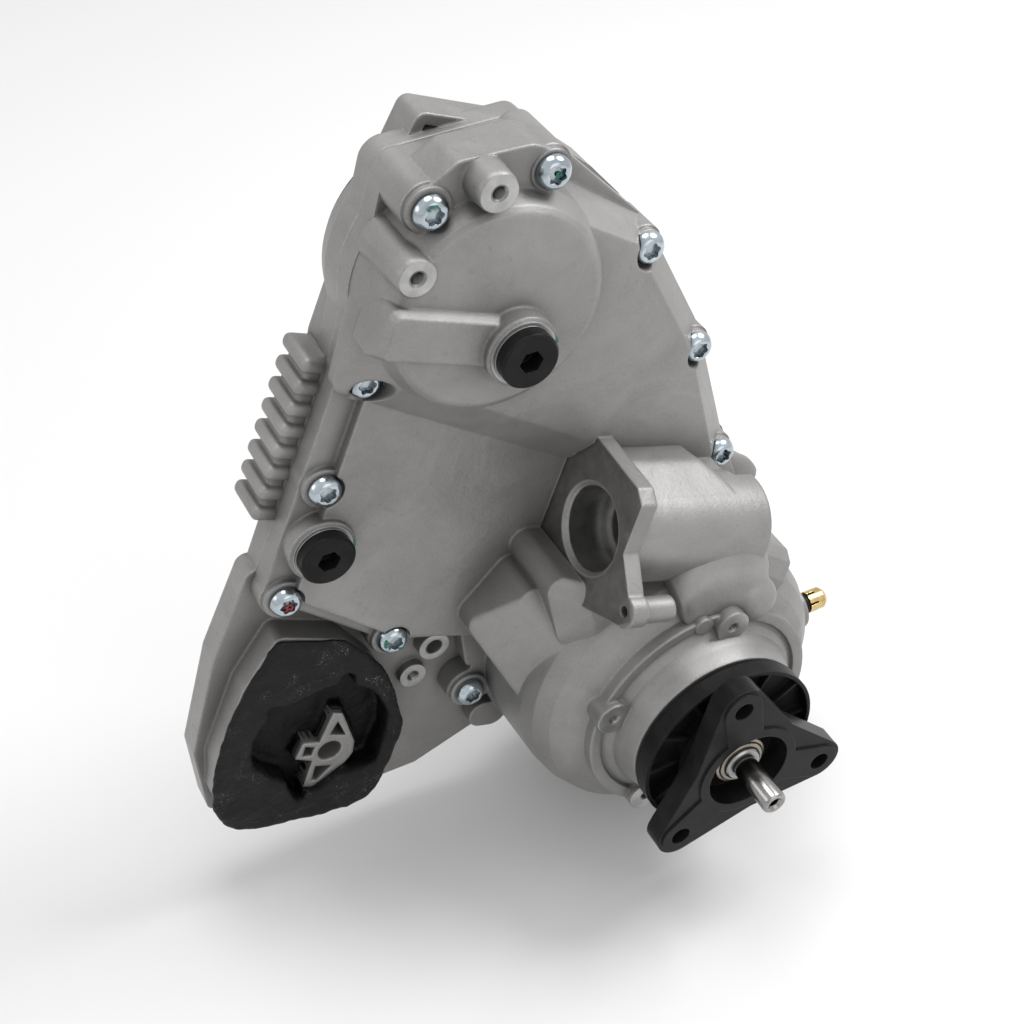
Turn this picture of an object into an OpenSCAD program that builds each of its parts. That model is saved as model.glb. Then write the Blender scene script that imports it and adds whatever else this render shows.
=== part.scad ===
// Two-axis automotive transfer case with a gear train and a motor-driven clutch.
// X runs to the right, Y towards the gearbox, Z up. The origin is on the main
// axis, in the joint plane of the two castings. The cover lies at negative Y.

/* [Shafts] */
// Distance between the main axis and the lower axis
shaft_centres = 266; // [262:1:272]
// Lean of the lower axis from straight below the main axis, in degrees
shaft_lean = 19.9; // [18:0.1:22]
// Radius of every shaft journal that runs in a ball bearing
journal_r = 17.5; // [16:0.5:18.5]
// Radius of the female socket for the gearbox shaft
input_bore_r = 12.5; // [10:0.5:13]

/* [Gear train] */
// Module of the three spur gears
gear_module = 2.5; // [2.4:0.05:2.55]
// Teeth on the drive gear and on the lower gear
drive_teeth = 36; // [35:1:37]
// Teeth on the idler gear
idler_teeth = 71; // [69:1:73]
// Face width of the gears
gear_face = 20; // [16:1:22]

/* [Castings] */
// Thickness of the joint flange on each casting
flange_t = 12; // [10:0.5:14]
// Wall thickness of both castings
wall = 5; // [4:0.5:6]
// Free space between a turning part and the inside of a wall
room = 3; // [2:0.5:4]
// How far the flat pan stands in front of the joint plane
pan_front = 18; // [17:0.5:20]
// How far the main dome stands in front of the joint plane
dome_front = 45; // [43:0.5:48]
// Radius of the flat disc on the main dome
dome_r = 48; // [45:0.5:51]
// Distance of the gearbox face behind the joint plane
gearbox_face = 24; // [23:0.5:28]
// Number of cooling fins on the left side
fin_count = 8; // [5:1:9]
// Height of a cooling fin
fin_h = 10; // [6:0.5:12]

/* [Fasteners] */
// Nominal radius of the cover bolts
bolt_r = 4; // [3:0.5:4]
// Head radius of the cover bolts
head_r = 8; // [7:0.25:8.5]
// Head radius of the two oil plugs
plug_head_r = 13.5; // [12:0.5:14]
// Thread radius of the two oil plugs
plug_r = 11; // [9:0.5:11.5]

/* [Gearbox mounting] */
// Bolt circle of the gearbox flange
gearbox_pcd = 130; // [128:1:134]
// Radius of the gearbox bolt holes
gearbox_hole_r = 4.25; // [3.5:0.25:5]
// Radius of the locating spigot
spigot_r = 41; // [39:0.5:43]

/* [Output flange] */
// Bolt circle of the three-arm flange
flange_pcd = 96; // [94:1:100]
// Radius of the holes in its arms
flange_hole_r = 5.25; // [4.25:0.25:5.75]
// Distance of its front face in front of the joint plane
flange_front = 135; // [133:1:140]
// Thickness of its arms
arm_t = 12; // [10:0.5:13]
// Radius of the centring pin
pin_r = 6.5; // [5:0.5:7]
// How far the centring pin stands proud of the flange
pin_proud = 24; // [18:1:30]

/* [Clutch] */
// Outer radius of the clutch drum
drum_r = 72; // [69:0.5:73]
// Number of friction plates
friction_count = 8; // [5:1:8]
// Thickness of one clutch plate
plate_t = 1.6; // [1.4:0.1:1.7]
// Gap between two open plates
plate_gap = 0.3; // [0.25:0.05:0.4]
// Working travel of the pressure plate
press_travel = 1.2; // [0.8:0.1:1.4]

/* [Actuator] */
// Module of the worm and the toothed sector
worm_module = 2; // [1.9:0.05:2.05]
// Teeth on the full circle of the sector
sector_teeth = 82; // [81:1:83]
// Pitch radius of the worm
worm_pitch_r = 10.6; // [10:0.1:11]
// Turn of the sector from open to closed, in degrees
sector_travel = 14; // [10:1:16]
// Radius of the bore in the motor face
motor_bore_r = 21; // [19:0.5:22]

/* [Rubber mount] */
// Radius of the hole in the mount core
mount_hole_r = 6.5; // [5:0.5:7]
// Depth of the mount bracket
mount_depth = 30; // [26:1:34]

/* [Hidden] */
$fn = 64;

// Clearances
fit = 0.05;
seat = 0.02;
slack = 0.3;
backlash = 0.3;

// Colours
cast_colour = "#a9a9a6";
steel_colour = "#8d8f92";
zinc_colour = "#c3cad0";
black_colour = "#1b1c1e";
rubber_colour = "#161617";
brass_colour = "#b99a55";
bronze_colour = "#a87b4a";

// Points in the X-Z plane
function polar(r, a) = [r * cos(a), r * sin(a)];
function add(p, q) = [p[0] + q[0], p[1] + q[1]];
function from(c, r, a) = add(c, polar(r, a));
function bearing_of(p, q) = atan2(q[1] - p[1], q[0] - p[0]);
function distance(p, q) = norm([q[0] - p[0], q[1] - p[1]]);
function middle(p, q) = [(p[0] + q[0]) / 2, (p[1] + q[1]) / 2];

// Gear sizes and centres
drive_r = gear_module * drive_teeth / 2;
idler_r = gear_module * idler_teeth / 2;
main_c = [0, 0];
lower_c = polar(shaft_centres, shaft_lean - 90);
idler_leg = drive_r + idler_r;
idler_shift = sqrt(idler_leg * idler_leg - shaft_centres * shaft_centres / 4);
idler_c = add(polar(shaft_centres / 2, shaft_lean - 90), polar(idler_shift, shaft_lean - 180));

// Cavities and outer walls
main_cav = drive_r + gear_module + room;
idler_cav = idler_r + gear_module + room - 0.5;
lower_cav = drum_r + 2 * room;
main_out = main_cav + wall + 1;
lower_out = lower_cav + wall + 1;
pan_inside = pan_front - wall + 1;
rear_inside = gearbox_face - wall - 1;
boss_r = head_r + 3.5;

// Cover bolts and how far their heads sit in front of the joint plane
flange_edge = 11;
slim_edge = head_r + 0.5;
ledge_edge = 4;
b1 = from(main_c, main_cav + 8.8, 117.6);
b2 = from(main_c, main_cav + 12, 63.4);
b3 = from(main_c, main_cav + 30.8, -1.3);
b4 = from(idler_c, idler_cav + 8.2, 36.6);
b5 = from(idler_c, idler_cav + 8.5, -6.8);
b6 = from(main_c, main_cav + 13.9, 214.7);
b7 = from(idler_c, idler_cav + 20.7, 159.8);
b8 = from(idler_c, idler_cav + 39.5, 188.5);
b9 = from(idler_c, idler_cav + 11.8, 221);
b10 = from(lower_c, lower_out + 12.6, 185.3);
b11 = from(lower_c, lower_out + 7, -28);
b12 = from(lower_c, lower_out + 7, -84);
top_seat = dome_front - 10;
flank_seat = top_seat - 12;
low_seat = flange_t + 3;
bolt_seats = [[b1, top_seat, boss_r], [b2, top_seat, boss_r - 1], [b3, flank_seat + 3, slim_edge + 0.5],
    [b4, flank_seat, slim_edge + 0.5], [b5, flank_seat, slim_edge + 0.5], [b6, low_seat, boss_r],
    [b7, low_seat, boss_r], [b8, low_seat, boss_r], [b9, low_seat, boss_r], [b10, low_seat, boss_r],
    [b11, flange_t, boss_r], [b12, flange_t, boss_r]];
bolt_reach = flange_t - 1.5;
wall_angle = bearing_of(b8, b6);
dowel_r = 4;
dowels = [middle(b2, b3), middle(b8, b9)];

// Oil plugs
fill_c = [4.9, -15.8];
fill_front = dome_front + 10;
drain_c = add(from(b8, distance(b8, b7) * 0.52, wall_angle), polar(6.5, wall_angle - 90));
drain_front = pan_front + 4;
plug_depth = 14;
plug_head_t = 6;
washer_t = 1;

// Upper axis
bearing_ro = 31;
bearing_w = 14;
main_front = [gear_face / 2 + 4.3, gear_face / 2 + 4.3 + bearing_w];
main_rear = gear_face / 2 + 2.5;
gear_seat_r = journal_r + 2.5;
spigot_back = gearbox_face + 10;
gasket_t = 1.5;
gasket_ri = spigot_r + 0.6;
seal_w = 8;

// Idler
idler_pin_r = 12;
idler_bearing_ro = 26;
idler_hole = pan_front - 2.5;

// Lower axis, as distances in front of the joint plane
lower_seat_r = journal_r + 4.5;
lower_bearing_ro = 36;
lower_bearing_w = 16;
lower_boss_back = gearbox_face + 14;
drum_floor = [gear_face / 2 + 3, gear_face / 2 + 7];
drum_inner_r = drum_r - 3.8;
apply_race = [drum_inner_r - 16.2, drum_inner_r - 2.2];
pack_pitch = 2 * (plate_t + plate_gap);
pack_end = drum_floor[1] + friction_count * pack_pitch - plate_t - plate_gap;
press_plate = [pack_end + plate_gap + press_travel, pack_end + plate_gap + press_travel + 4];
drum_open = press_plate[1] - 0.5;
apply = [press_plate[1] + slack, press_plate[1] + slack + 2.9];
press_ring = [apply[1] + slack, apply[1] + slack + 4.7];
ramp_web = [press_ring[1] + 1.8, press_ring[1] + 7.8];
ramp_race = [ramp_web[1] + slack, ramp_web[1] + slack + 3];
cover_race = ramp_race[1] + 0.2;
out_bearing = [75, 93];
hub_spline_r = 14;
hub_r = journal_r + 4.5;
clutch_hub_r = 46;
spline_r = 15;
pilot_r = 10;
shoulder_front = 82;
rib_front = 88;
nose_front = 105;
rib_in = 58;
rib_out = 64;
nose_r = 50;
arm_back = flange_front - arm_t;
shield = [nose_front + 3, nose_front + 12];
shield_r = 49;
ball_r = 3.4;
ball_ring_r = 56;
ball_front = press_ring[1] + 0.9;
tab_count = 12;

// Worm drive
worm_front = 52;
worm_angle = 70;
sector_pitch_r = worm_module * sector_teeth / 2;
worm_drop = sector_pitch_r + worm_pitch_r;
worm_reach = 85;
motor_c = add(from(lower_c, worm_drop, worm_angle), polar(worm_reach, worm_angle + 90));
worm_bore_r = 14;
worm_bearing_ro = 15;
worm_journal_r = 6;
worm_tail_r = 4;
worm_tail_ro = 8.8;
worm_end = worm_reach + 15;
worm_cap = 12;
worm_lead = PI * worm_module;
sector_from = worm_angle - 5;
sector_to = worm_angle + sector_travel + 5;
sector_w = 12;

// Shape helpers
module at(p) { translate([p[0], 0, p[1]]) children(); }

// Extrudes an X-Z outline between two distances in front of the joint plane
module front(f0, f1) {
    translate([0, -f0, 0]) rotate([90, 0, 0]) linear_extrude(f1 - f0) children();
}

// Extrudes an X-Z outline between two distances behind the joint plane
module behind(y0, y1) {
    translate([0, y1, 0]) rotate([90, 0, 0]) linear_extrude(y1 - y0) children();
}

module disc_front(r, f0, f1) {
    translate([0, -f0, 0]) rotate([90, 0, 0]) cylinder(r = r, h = f1 - f0);
}

// A revolved profile of points (radius, distance in front of the joint plane)
module turned(points, start = 0) { rotate([90, 0, 0]) rotate(start) rotate_extrude() polygon(points); }

module ring_front(ri, ro, f0, f1) {
    difference() {
        disc_front(ro, f0, f1);
        disc_front(ri, f0 - 1, f1 + 1);
    }
}

// Two circles joined by straight sides, a hair inside their tangents so that each side crosses its circle
module link(p, rp, q, rq) {
    tuck = 0.999;
    d = distance(p, q);
    a = bearing_of(p, q);
    t = acos((rp - rq) / d);
    translate(p) circle(rp);
    translate(q) circle(rq);
    polygon([from(p, rp * tuck, a + t), from(p, rp * tuck, a - t), from(q, rq * tuck, a - t),
        from(q, rq * tuck, a + t)]);
}

// A band of links along a closed loop of points, filled inside
module loop_2d(points, r) {
    n = len(points);
    polygon(points);
    for (i = [0 : n - 1]) link(points[i], r, points[(i + 1) % n], r);
}

module worm_frame() {
    translate([motor_c[0], -worm_front, motor_c[1]]) rotate([0, 180 - worm_angle, 0]) children();
}

module ball_bearing(ri, ro, w, balls) {
    rb = (ro - ri) * 0.28;
    rm = (ri + ro) / 2;
    land = rb * 0.42;
    difference() {
        ring_front(rm + land, ro, 0, w);
        ball_track(rm, rb + fit, w);
    }
    difference() {
        ring_front(ri, rm - land, 0, w);
        ball_track(rm, rb + fit, w);
    }
    for (i = [0 : balls - 1]) at(polar(rm, i * 360 / balls)) translate([0, -w / 2, 0]) sphere(r = rb);
}

module ball_track(rm, rb, w) {
    translate([0, -w / 2, 0]) rotate([90, 0, 0]) rotate_extrude() translate([rm, 0]) circle(rb);
}

module lip_seal(ri, ro, w) {
    difference() {
        disc_front(ro, 0, w);
        turned([[0, -1], [ri, -1], [ri, w * 0.45], [ro * 0.8, w * 0.55], [ro * 0.8, w + 1], [0, w + 1]]);
    }
}

// Involute gear outline with tooth zero centred on the given phase
function inv(a) = tan(a) * 180 / PI - a;
function half_tooth(z, m, r) = 90 / z - backlash / (2 * m * z) * 180 / PI + inv(20)
    - inv(acos(min(1, m * z / 2 * cos(20) / r)));
function tooth_radii(z, m) = let (rp = m * z / 2, r0 = max(rp - 1.25 * m, rp * cos(20)), r1 = rp + m)
    [rp - 1.25 * m, r0 + 0.25 * m, rp, rp + 0.5 * m, r1];
module gear_2d(z, m, phase) {
    radii = tooth_radii(z, m);
    n = len(radii) - 1;
    polygon([for (k = [0 : z - 1]) each [
        for (i = [0 : n]) polar(radii[i], phase + k * 360 / z - half_tooth(z, m, max(radii[i], radii[1]))),
        for (i = [n : -1 : 0]) polar(radii[i], phase + k * 360 / z + half_tooth(z, m, max(radii[i], radii[1])))
    ]]);
}

// Phase of a gear that meshes with another one at the bearing a
function mesh_phase(z1, phase1, z2, a) = a + 180 + ((a - phase1) * z1 - 180) / z2;
idler_phase = mesh_phase(drive_teeth, 0, idler_teeth, bearing_of(main_c, idler_c));
lower_phase = mesh_phase(idler_teeth, idler_phase, drive_teeth, bearing_of(idler_c, lower_c));

// Outline of the joint flange
module flange_2d() {
    stout = [[b8, flange_edge], [b7, flange_edge], [b6, flange_edge], [b1, flange_edge], [b2, slim_edge],
        [b3, slim_edge], [b4, slim_edge], [b5, slim_edge], [b11, flange_edge], [b12, flange_edge]];
    polygon(concat([for (s = stout) s[0]], [b10, notch[1], notch[0], b9]));
    for (i = [0 : len(stout) - 2]) link(stout[i][0], stout[i][1], stout[i + 1][0], stout[i + 1][1]);
    link(b8, ledge_edge, b9, ledge_edge);
    link(b9, ledge_edge, notch[0], ledge_edge);
    link(notch[0], ledge_edge, notch[1], ledge_edge);
    link(b10, flange_edge, from(lower_c, lower_cav - room, 185), flange_edge + 3);
    translate(b9) circle(flange_edge);
    circle(main_out);
    translate(lower_c) circle(lower_out + 2);
    link(b5, flange_edge - 1, lower_c, lower_out);
    translate(drain_c) circle(plug_head_r + 3);
}

// Corners of the recess in the cover's lower edge, and the ear below it
notch = [from(lower_c, lower_out + 17, 160), from(lower_c, lower_out + 9, 174)];
module ear_2d() { link(from(lower_c, lower_out + 10, 205), 8.5, from(lower_c, lower_out + 6, 207.5), 8.5); }

// Outline of the gear chamber
module chamber_2d() {
    difference() {
        union() {
            circle(main_cav);
            translate(idler_c) circle(idler_cav);
            translate(lower_c) circle(lower_cav);
            polygon([idler_c, sump(b6), sump(b7), sump(b8), sump(b9)]);
            translate(drain_c) circle(plug_r + 1.5);
        }
        for (s = bolt_seats) translate(s[0]) circle(bolt_r + 3.8);
    }
}
function sump(b) = from(idler_c, distance(idler_c, b) - 13.5, bearing_of(idler_c, b));

// Front cover
boss1_c = [-2.6, 60.5];
boss2_c = [-38.5, 30];
arm_dir = 178 - shaft_lean;

module deck() {
    $fn = 32;
    hull() {
        disc_front(main_out - 1, flange_t, flange_t + 1);
        disc_front(dome_r - 1, dome_front - 9, dome_front - 8);
        at(b3) disc_front(slim_edge, flange_t, flange_t + 1);
        at(from(b3, 16, 170)) disc_front(8, 30, 33);
        at(b4) disc_front(slim_edge, flange_t, flange_t + 1);
        at(from(b4, 15, 180)) disc_front(9, 28, 31);
        at(b5) disc_front(slim_edge, flange_t, flange_t + 1);
        at(from(b5, 18, 160)) disc_front(9, 26, 29);
        at([46, -106]) disc_front(8, flange_t, pan_front + 1);
        at([36, -64]) disc_front(8, 32, 34);
        at([-60, -32]) disc_front(8, flange_t, pan_front);
    }
}

module dome() {
    turned([[0, 0], [main_out - 0.5, flange_t], [dome_r + 6, dome_front - 14], [dome_r + 1.5, dome_front - 3],
        [dome_r - 1, dome_front - 0.7], [dome_r - 3, dome_front], [0, dome_front]]);
}

module oil_arm() {
    $fn = 32;
    tip = from(fill_c, 60, arm_dir);
    hull() {
        for (c = [fill_c, tip], a = [-90, 90]) {
            at(from(c, 7.5, arm_dir + a)) disc_front(2.5, dome_front - 10, dome_front + 5);
            at(from(c, 7.5, arm_dir + a)) disc_front(4.5, dome_front - 10, dome_front + 1);
        }
        for (a = [-90, 90]) at(from(from(tip, 7.5, arm_dir + a), 6, 238)) disc_front(3, dome_front - 21, dome_front - 9);
    }
    at(fill_c) disc_front(plug_head_r + 3.5, dome_front - 8, fill_front - 1);
    at(fill_c) disc_front(plug_head_r + 2, dome_front - 8, fill_front);
}

module top_pad() {
    front(flange_t - 1, 34) loop_2d([b1, [-11, 62], [18, 61], b2, [15, 46], [-8, 44]], boss_r - 3);
    at(boss1_c) turned([[0, 20], [10.5, 20], [9.2, 46], [8.6, 48], [0, 48]]);
    at(boss2_c) turned([[0, 12], [11.5, 12], [9, 44], [8.4, 46], [0, 46]]);
}

module lower_bulge() {
    at(lower_c) turned([[0, 0], [lower_out + 1, 0], [lower_out + 1, 22], [lower_out, 50], [lower_out - 1.6, 60],
        [lower_out - 6, 70], [lower_out - 13, 77], [lower_out - 20, 81], [rib_out, shoulder_front],
        [rib_out, rib_front], [rib_in, rib_front], [rib_in - 1, 86], [nose_r + 2, 90], [nose_r, 96],
        [nose_r - 2, nose_front], [0, nose_front]], -52);
}

module sector_bump() {
    at(lower_c) rotate([90, 0, 0]) rotate(sector_from - sector_travel - 5)
        rotate_extrude(angle = sector_to - sector_from + sector_travel + 10)
            polygon([[40, 0], [sector_pitch_r + 6, 0], [sector_pitch_r + 7, worm_front - 13],
                [sector_pitch_r + 8.5, worm_front - 8], [sector_pitch_r + 8.5, worm_front + 12],
                [sector_pitch_r + 5, worm_front + 19], [sector_pitch_r - 4, worm_front + 24],
                [40, worm_front + 26]]);
}

module worm_housing() {
    worm_frame() {
        translate([0, 0, 1]) cylinder(r = 27, h = worm_end - 10);
        translate([0, 0, worm_end - 9]) cylinder(r1 = 27, r2 = worm_cap + 3, h = 5);
        translate([0, 0, worm_end - 20]) cylinder(r = worm_cap, h = 18);
        translate([0, 0, worm_end - 2]) cylinder(r1 = worm_cap, r2 = worm_cap - 1.5, h = 2);
        translate([-24, 0, 2]) cube([49, worm_front - flange_t - 1, worm_end - 14]);
    }
}

module motor_plate_2d() {
    // Local X points down the plate and local Y towards the gearbox
    polygon([[-41, 41], [-38, -20], [-33, -27], [-6, -28], [11, -45], [17, -50], [24, -44], [38, -8],
        [42, 42], [-10, 41]]);
}

motor_screws = [[-27, 30], [16, -43]];
module motor_plate() {
    worm_frame() {
        linear_extrude(9) {
            motor_plate_2d();
            translate(motor_screws[0]) circle(10.5);
            translate(motor_screws[1]) circle(8);
        }
        for (s = motor_screws) translate(s) cylinder(r = 6.5, h = 26);
    }
}

module boss_columns() {
    for (s = bolt_seats) at(s[0]) {
        disc_front(s[2] - 1, 0, s[1]);
        disc_front(s[2], 0, s[1] - 3);
    }
    at(drain_c) disc_front(plug_head_r + 3, 0, drain_front - 1);
    at(drain_c) disc_front(plug_head_r + 1.5, 0, drain_front);
    for (a = [157, 77, -123]) at(from(lower_c, 58, a)) disc_front(9, 70, 92);
    at(from(lower_c, 61, 92)) disc_front(5, 70, 89);
    vent_boss();
}

vent_front = 47;
vent_z = lower_c[1] - 3;
vent_x = lower_c[0] + lower_out + 5;
module vent_boss() {
    translate([vent_x - 40, -vent_front, vent_z]) rotate([0, 90, 0]) cylinder(r = 10, h = 36);
    translate([vent_x - 5, -vent_front, vent_z]) rotate([0, 90, 0]) cylinder(r = 12, h = 5);
}

module cover_cavity() {
    front(-1, pan_inside) difference() {
        chamber_2d();
        translate(idler_c) circle(idler_pin_r + 6);
    }
    at(idler_c) disc_front(idler_pin_r + 7, -1, gear_face / 2 + 1);
    turned([[0, -1], [main_cav, -1], [main_cav, main_front[0] - 0.1], [bearing_ro + seat, main_front[0]],
        [bearing_ro + seat, main_front[1] + 0.2], [26, main_front[1] + 0.2], [26, dome_front - wall],
        [0, dome_front - wall]], 100);
    at(lower_c) turned([[0, -1], [lower_cav, -1], [lower_cav, 56], [lower_cav - 2, 63], [lower_cav - 4, 68],
        [lower_cav - 6, cover_race], [33, cover_race], [33, out_bearing[0]],
        [lower_bearing_ro + seat, out_bearing[0]], [lower_bearing_ro + seat, nose_front + 1],
        [0, nose_front + 1]], -52);
    at(lower_c) rotate([90, 0, 0]) rotate(sector_from - sector_travel - 2)
        rotate_extrude(angle = sector_to - sector_from + sector_travel + 4)
            polygon([[60, worm_front - 8], [sector_pitch_r + 5, worm_front - 8],
                [sector_pitch_r + 5, cover_race - 1], [60, cover_race - 1]]);
}

module worm_cavity() {
    worm_frame() {
        translate([0, 0, -1]) cylinder(r1 = motor_bore_r + 2.5, r2 = motor_bore_r + 0.5, h = 3);
        cylinder(r = motor_bore_r, h = 24);
        cylinder(r = worm_bearing_ro + seat, h = 46);
        cylinder(r = worm_bore_r, h = worm_end - 6.3);
        cylinder(r = worm_tail_ro + seat, h = worm_end - 1.8);
        for (s = motor_screws) translate([s[0], s[1], -1]) cylinder(r = 2.9, h = 18);
    }
}

module front_cover() {
    color(cast_colour) difference() {
        union() {
            front(0, flange_t) flange_2d();
            front(0, pan_front) pan_2d();
            front(0, flange_t - 3) ear_2d();
            deck();
            dome();
            oil_arm();
            top_pad();
            lower_bulge();
            sector_bump();
            worm_housing();
            motor_plate();
            boss_columns();
            saddle();
        }
        cover_cavity();
        worm_cavity();
        for (s = bolt_seats) at(s[0]) {
            disc_front(bolt_r + 0.4, -1, s[1] + 1);
            disc_front(head_r + 1, s[1], s[1] + 25);
        }
        at(fill_c) disc_front(plug_r + fit, dome_front - wall - 1, fill_front + 1);
        at(drain_c) disc_front(plug_r + fit, 2, drain_front + 1);
        at(boss1_c) disc_front(3.4, 26, 49);
        at(boss2_c) disc_front(3.4, 26, 47);
        for (a = [157, 77, -123]) at(from(lower_c, 58, a)) disc_front(2.6, 78, 93);
        at(idler_c) disc_front(idler_pin_r + seat, -1, idler_hole);
        translate([vent_x - 30, -vent_front, vent_z]) rotate([0, 90, 0]) cylinder(r = 4 + seat, h = 31);
        for (p = dowels) at(p) disc_front(dowel_r + seat, -1, 7);
    }
}

module pan_2d() {
    polygon([from(b6, 3, 20), from(b7, 3, 0), from(b8, 4, 20), from(b9, 3, 80), notch[0],
        from(lower_c, 60, 150), from(lower_c, 60, 80), from(b5, 6, 180), from(b4, 6, 180), [40, -20]]);
    for (b = [b6, b7, b8, b9]) translate(b) circle(5);
}

// Shoulder that leads from the pan to the lower bulge
module saddle() {
    $fn = 32;
    hull() {
        at([-2, -196]) disc_front(10, flange_t, 30);
        at([16, -176]) disc_front(8, flange_t, 46);
        at(from(lower_c, 62, 140)) disc_front(16, flange_t, 62);
        at(from(lower_c, 66, 172)) disc_front(16, flange_t, 48);
    }
    hull() {
        at([25, -162]) disc_front(8, flange_t, 58);
        at([44, -170]) disc_front(10, flange_t, 70);
        at(from(lower_c, 60, 128)) disc_front(14, flange_t, 66);
        at([34, -190]) disc_front(12, flange_t, 59);
    }
}

// Rear housing
gearbox_angles = [98, -22, -142];
mount_c = [-85.2, -266.9];
mount_ring = 5;
mount_loop = [[-104, -179], [-76, -193], [-60, -218], [-53, -240], [-50, -262], [-63, -293], [-81, -305],
    [-111, -299], [-135, -290], [-143.5, -270], [-140.5, -246], [-122, -203]];
leg_loop = [[-108, -146], [-129, -190], [-146, -248], [-144, -288], [-130, -300], [-60, -312], [-34, -312],
    [10, -296], [40, -290], [0, -180]];
web_boss_1 = [-21.5, -225];
web_boss_2 = [-33, -244];

// Plate on the gearbox side, with a raised rim round a pocket at its top
module plate_2d() {
    offset(r = 5) offset(delta = -5) polygon([from(main_c, 74, 99.5), [31, 55], [52, 41], [70, 25], [86, 6], [81, -8],
        from(main_c, 79, -24), from(main_c, 67, -36.5), from(main_c, 75, -129.6), from(main_c, 80, -145),
        from(main_c, 69, -154), [-34, 36]]);
}

module gearbox_plate() {
    difference() {
        behind(5, gearbox_face) {
            plate_2d();
            circle(main_out - 4);
        }
        behind(4, flange_t) difference() {
            offset(delta = -5) plate_2d();
            circle(main_out + 1);
            translate(b1) circle(boss_r - 1);
            translate(b2) circle(boss_r - 1);
            polygon([b2, b3, main_c]);
            translate(b3) circle(40);
        }
    }
}

// Outline of the walls behind the joint flange
module body_2d() {
    translate(idler_c) circle(idler_cav + wall);
    translate(lower_c) circle(lower_out);
    offset(r = wall) polygon([idler_c, sump(b6), sump(b7), sump(b8), sump(b9)]);
    translate(drain_c) circle(plug_r + 1.5 + wall);
    polygon([main_c, from(idler_c, idler_cav, 20), lower_c]);
}

module fins() {
    pitch = 11.4;
    first = from(b6, 4, wall_angle + 180);
    for (i = [0 : fin_count - 1]) {
        root = from(first, i * pitch, wall_angle + 180);
        behind(1, gearbox_face - 1) link(from(root, 6, wall_angle + 90), 2.2,
            from(root, flange_edge + fin_h - 1.6, wall_angle + 90), 1.6);
    }
}

module rear_ribs() {
    behind(gearbox_face - wall, gearbox_face + 3) {
        for (a = [200, 240, 285, 330]) link(from(idler_c, 20, a), 2.5, from(idler_c, 90, a), 2.4);
        for (a = [20, 70, 160, 220, 300]) link(from(lower_c, 30, a), 2.5, from(lower_c, 78, a), 2.4);
    }
}

module mount_bracket() {
    front(-mount_depth / 2, mount_depth / 2) loop_2d(mount_loop, mount_ring);
}

module web_bosses() {
    at(web_boss_1) disc_front(8.5, -10, 8);
    at(web_boss_2) disc_front(7.5, -10, 5);
    behind(0, 13) ear_2d();
}

module inner_bosses() {
    y0 = gear_face / 2 + 2;
    behind(y0, rear_inside + 1) {
        circle(bearing_ro + 6);
        translate(lower_c) circle(lower_bearing_ro + 6);
        translate(idler_c) circle(idler_pin_r + 6);
    }
}

module rear_bores() {
    disc_front(bearing_ro + seat, -spigot_back - 1, 0);
    at(lower_c) disc_front(lower_bearing_ro + seat, -lower_boss_back - 1, 0);
    at(idler_c) disc_front(idler_pin_r + seat, -20, 0);
    at(web_boss_1) disc_front(4.5, -30, 30);
    at(web_boss_2) disc_front(3, -12, 30);
    for (p = dowels) at(p) disc_front(dowel_r + seat, -7, 1);
    for (s = bolt_seats) at(s[0]) disc_front(bolt_r + seat, -bolt_reach - 0.7, 5);
    for (a = gearbox_angles) at(from(main_c, gearbox_pcd / 2, a)) disc_front(gearbox_hole_r, -40, -flange_t);
}

module rear_housing() {
    color(cast_colour) difference() {
        union() {
            difference() {
                union() {
                    behind(0, flange_t) flange_2d();
                    behind(1, gearbox_face) body_2d();
                    turned([[0, 1 - gearbox_face], [main_out - 3, 1 - gearbox_face], [main_out, -flange_t - 1],
                        [main_out, -2], [0, -2]], 25);
                    behind(0, mount_depth / 2 - 1) loop_2d(leg_loop, 6);
                    gearbox_plate();
                    disc_front(spigot_r, -spigot_back, -10);
                    disc_front(gasket_ri - 0.1, -gearbox_face - gasket_t, -10);
                    at(lower_c) disc_front(lower_bearing_ro + 10, -lower_boss_back, -10);
                    at(idler_c) disc_front(20, -gearbox_face - 2, -10);
                    mount_bracket();
                    fins();
                    rear_ribs();
                    web_bosses();
                }
                behind(-1, rear_inside) chamber_2d();
                front(-mount_depth, mount_depth) loop_2d(mount_loop, 1.5);
            }
            inner_bosses();
        }
        rear_bores();
    }
}

// Fasteners, plugs and vent
module cover_bolts() {
    color(zinc_colour) for (s = bolt_seats) at(s[0]) difference() {
        union() {
            turned([[0, s[1]], [head_r, s[1]], [head_r, s[1] + 3.5], [head_r - 2, s[1] + 5.5], [0, s[1] + 5.5]]);
            disc_front(bolt_r, -bolt_reach, s[1] + 1);
        }
        translate([0, -s[1] - 3, 0]) rotate([90, 0, 0]) cylinder(r = 3.2, h = 4, $fn = 6);
    }
}

module dowel_pins() {
    color(steel_colour) for (p = dowels) at(p) turned([[0, -6.5], [dowel_r - 0.6, -6.5], [dowel_r, -5.9],
        [dowel_r, 5.9], [dowel_r - 0.6, 6.5], [0, 6.5]]);
}

module oil_plug(c, f) {
    color(black_colour) at(c) difference() {
        turned([[0, f - plug_depth], [plug_r - 1, f - plug_depth], [plug_r, f - plug_depth + 1], [plug_r, f + washer_t],
            [plug_head_r, f + washer_t], [plug_head_r, f + plug_head_t], [plug_head_r - 1, f + plug_head_t + 1],
            [0, f + plug_head_t + 1]]);
        translate([0, -f + 1, 0]) rotate([90, 0, 0]) cylinder(r = 5.8, h = 20, $fn = 6);
    }
}
module fill_plug() { oil_plug(fill_c, fill_front); }
module drain_plug() { oil_plug(drain_c, drain_front); }

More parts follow.
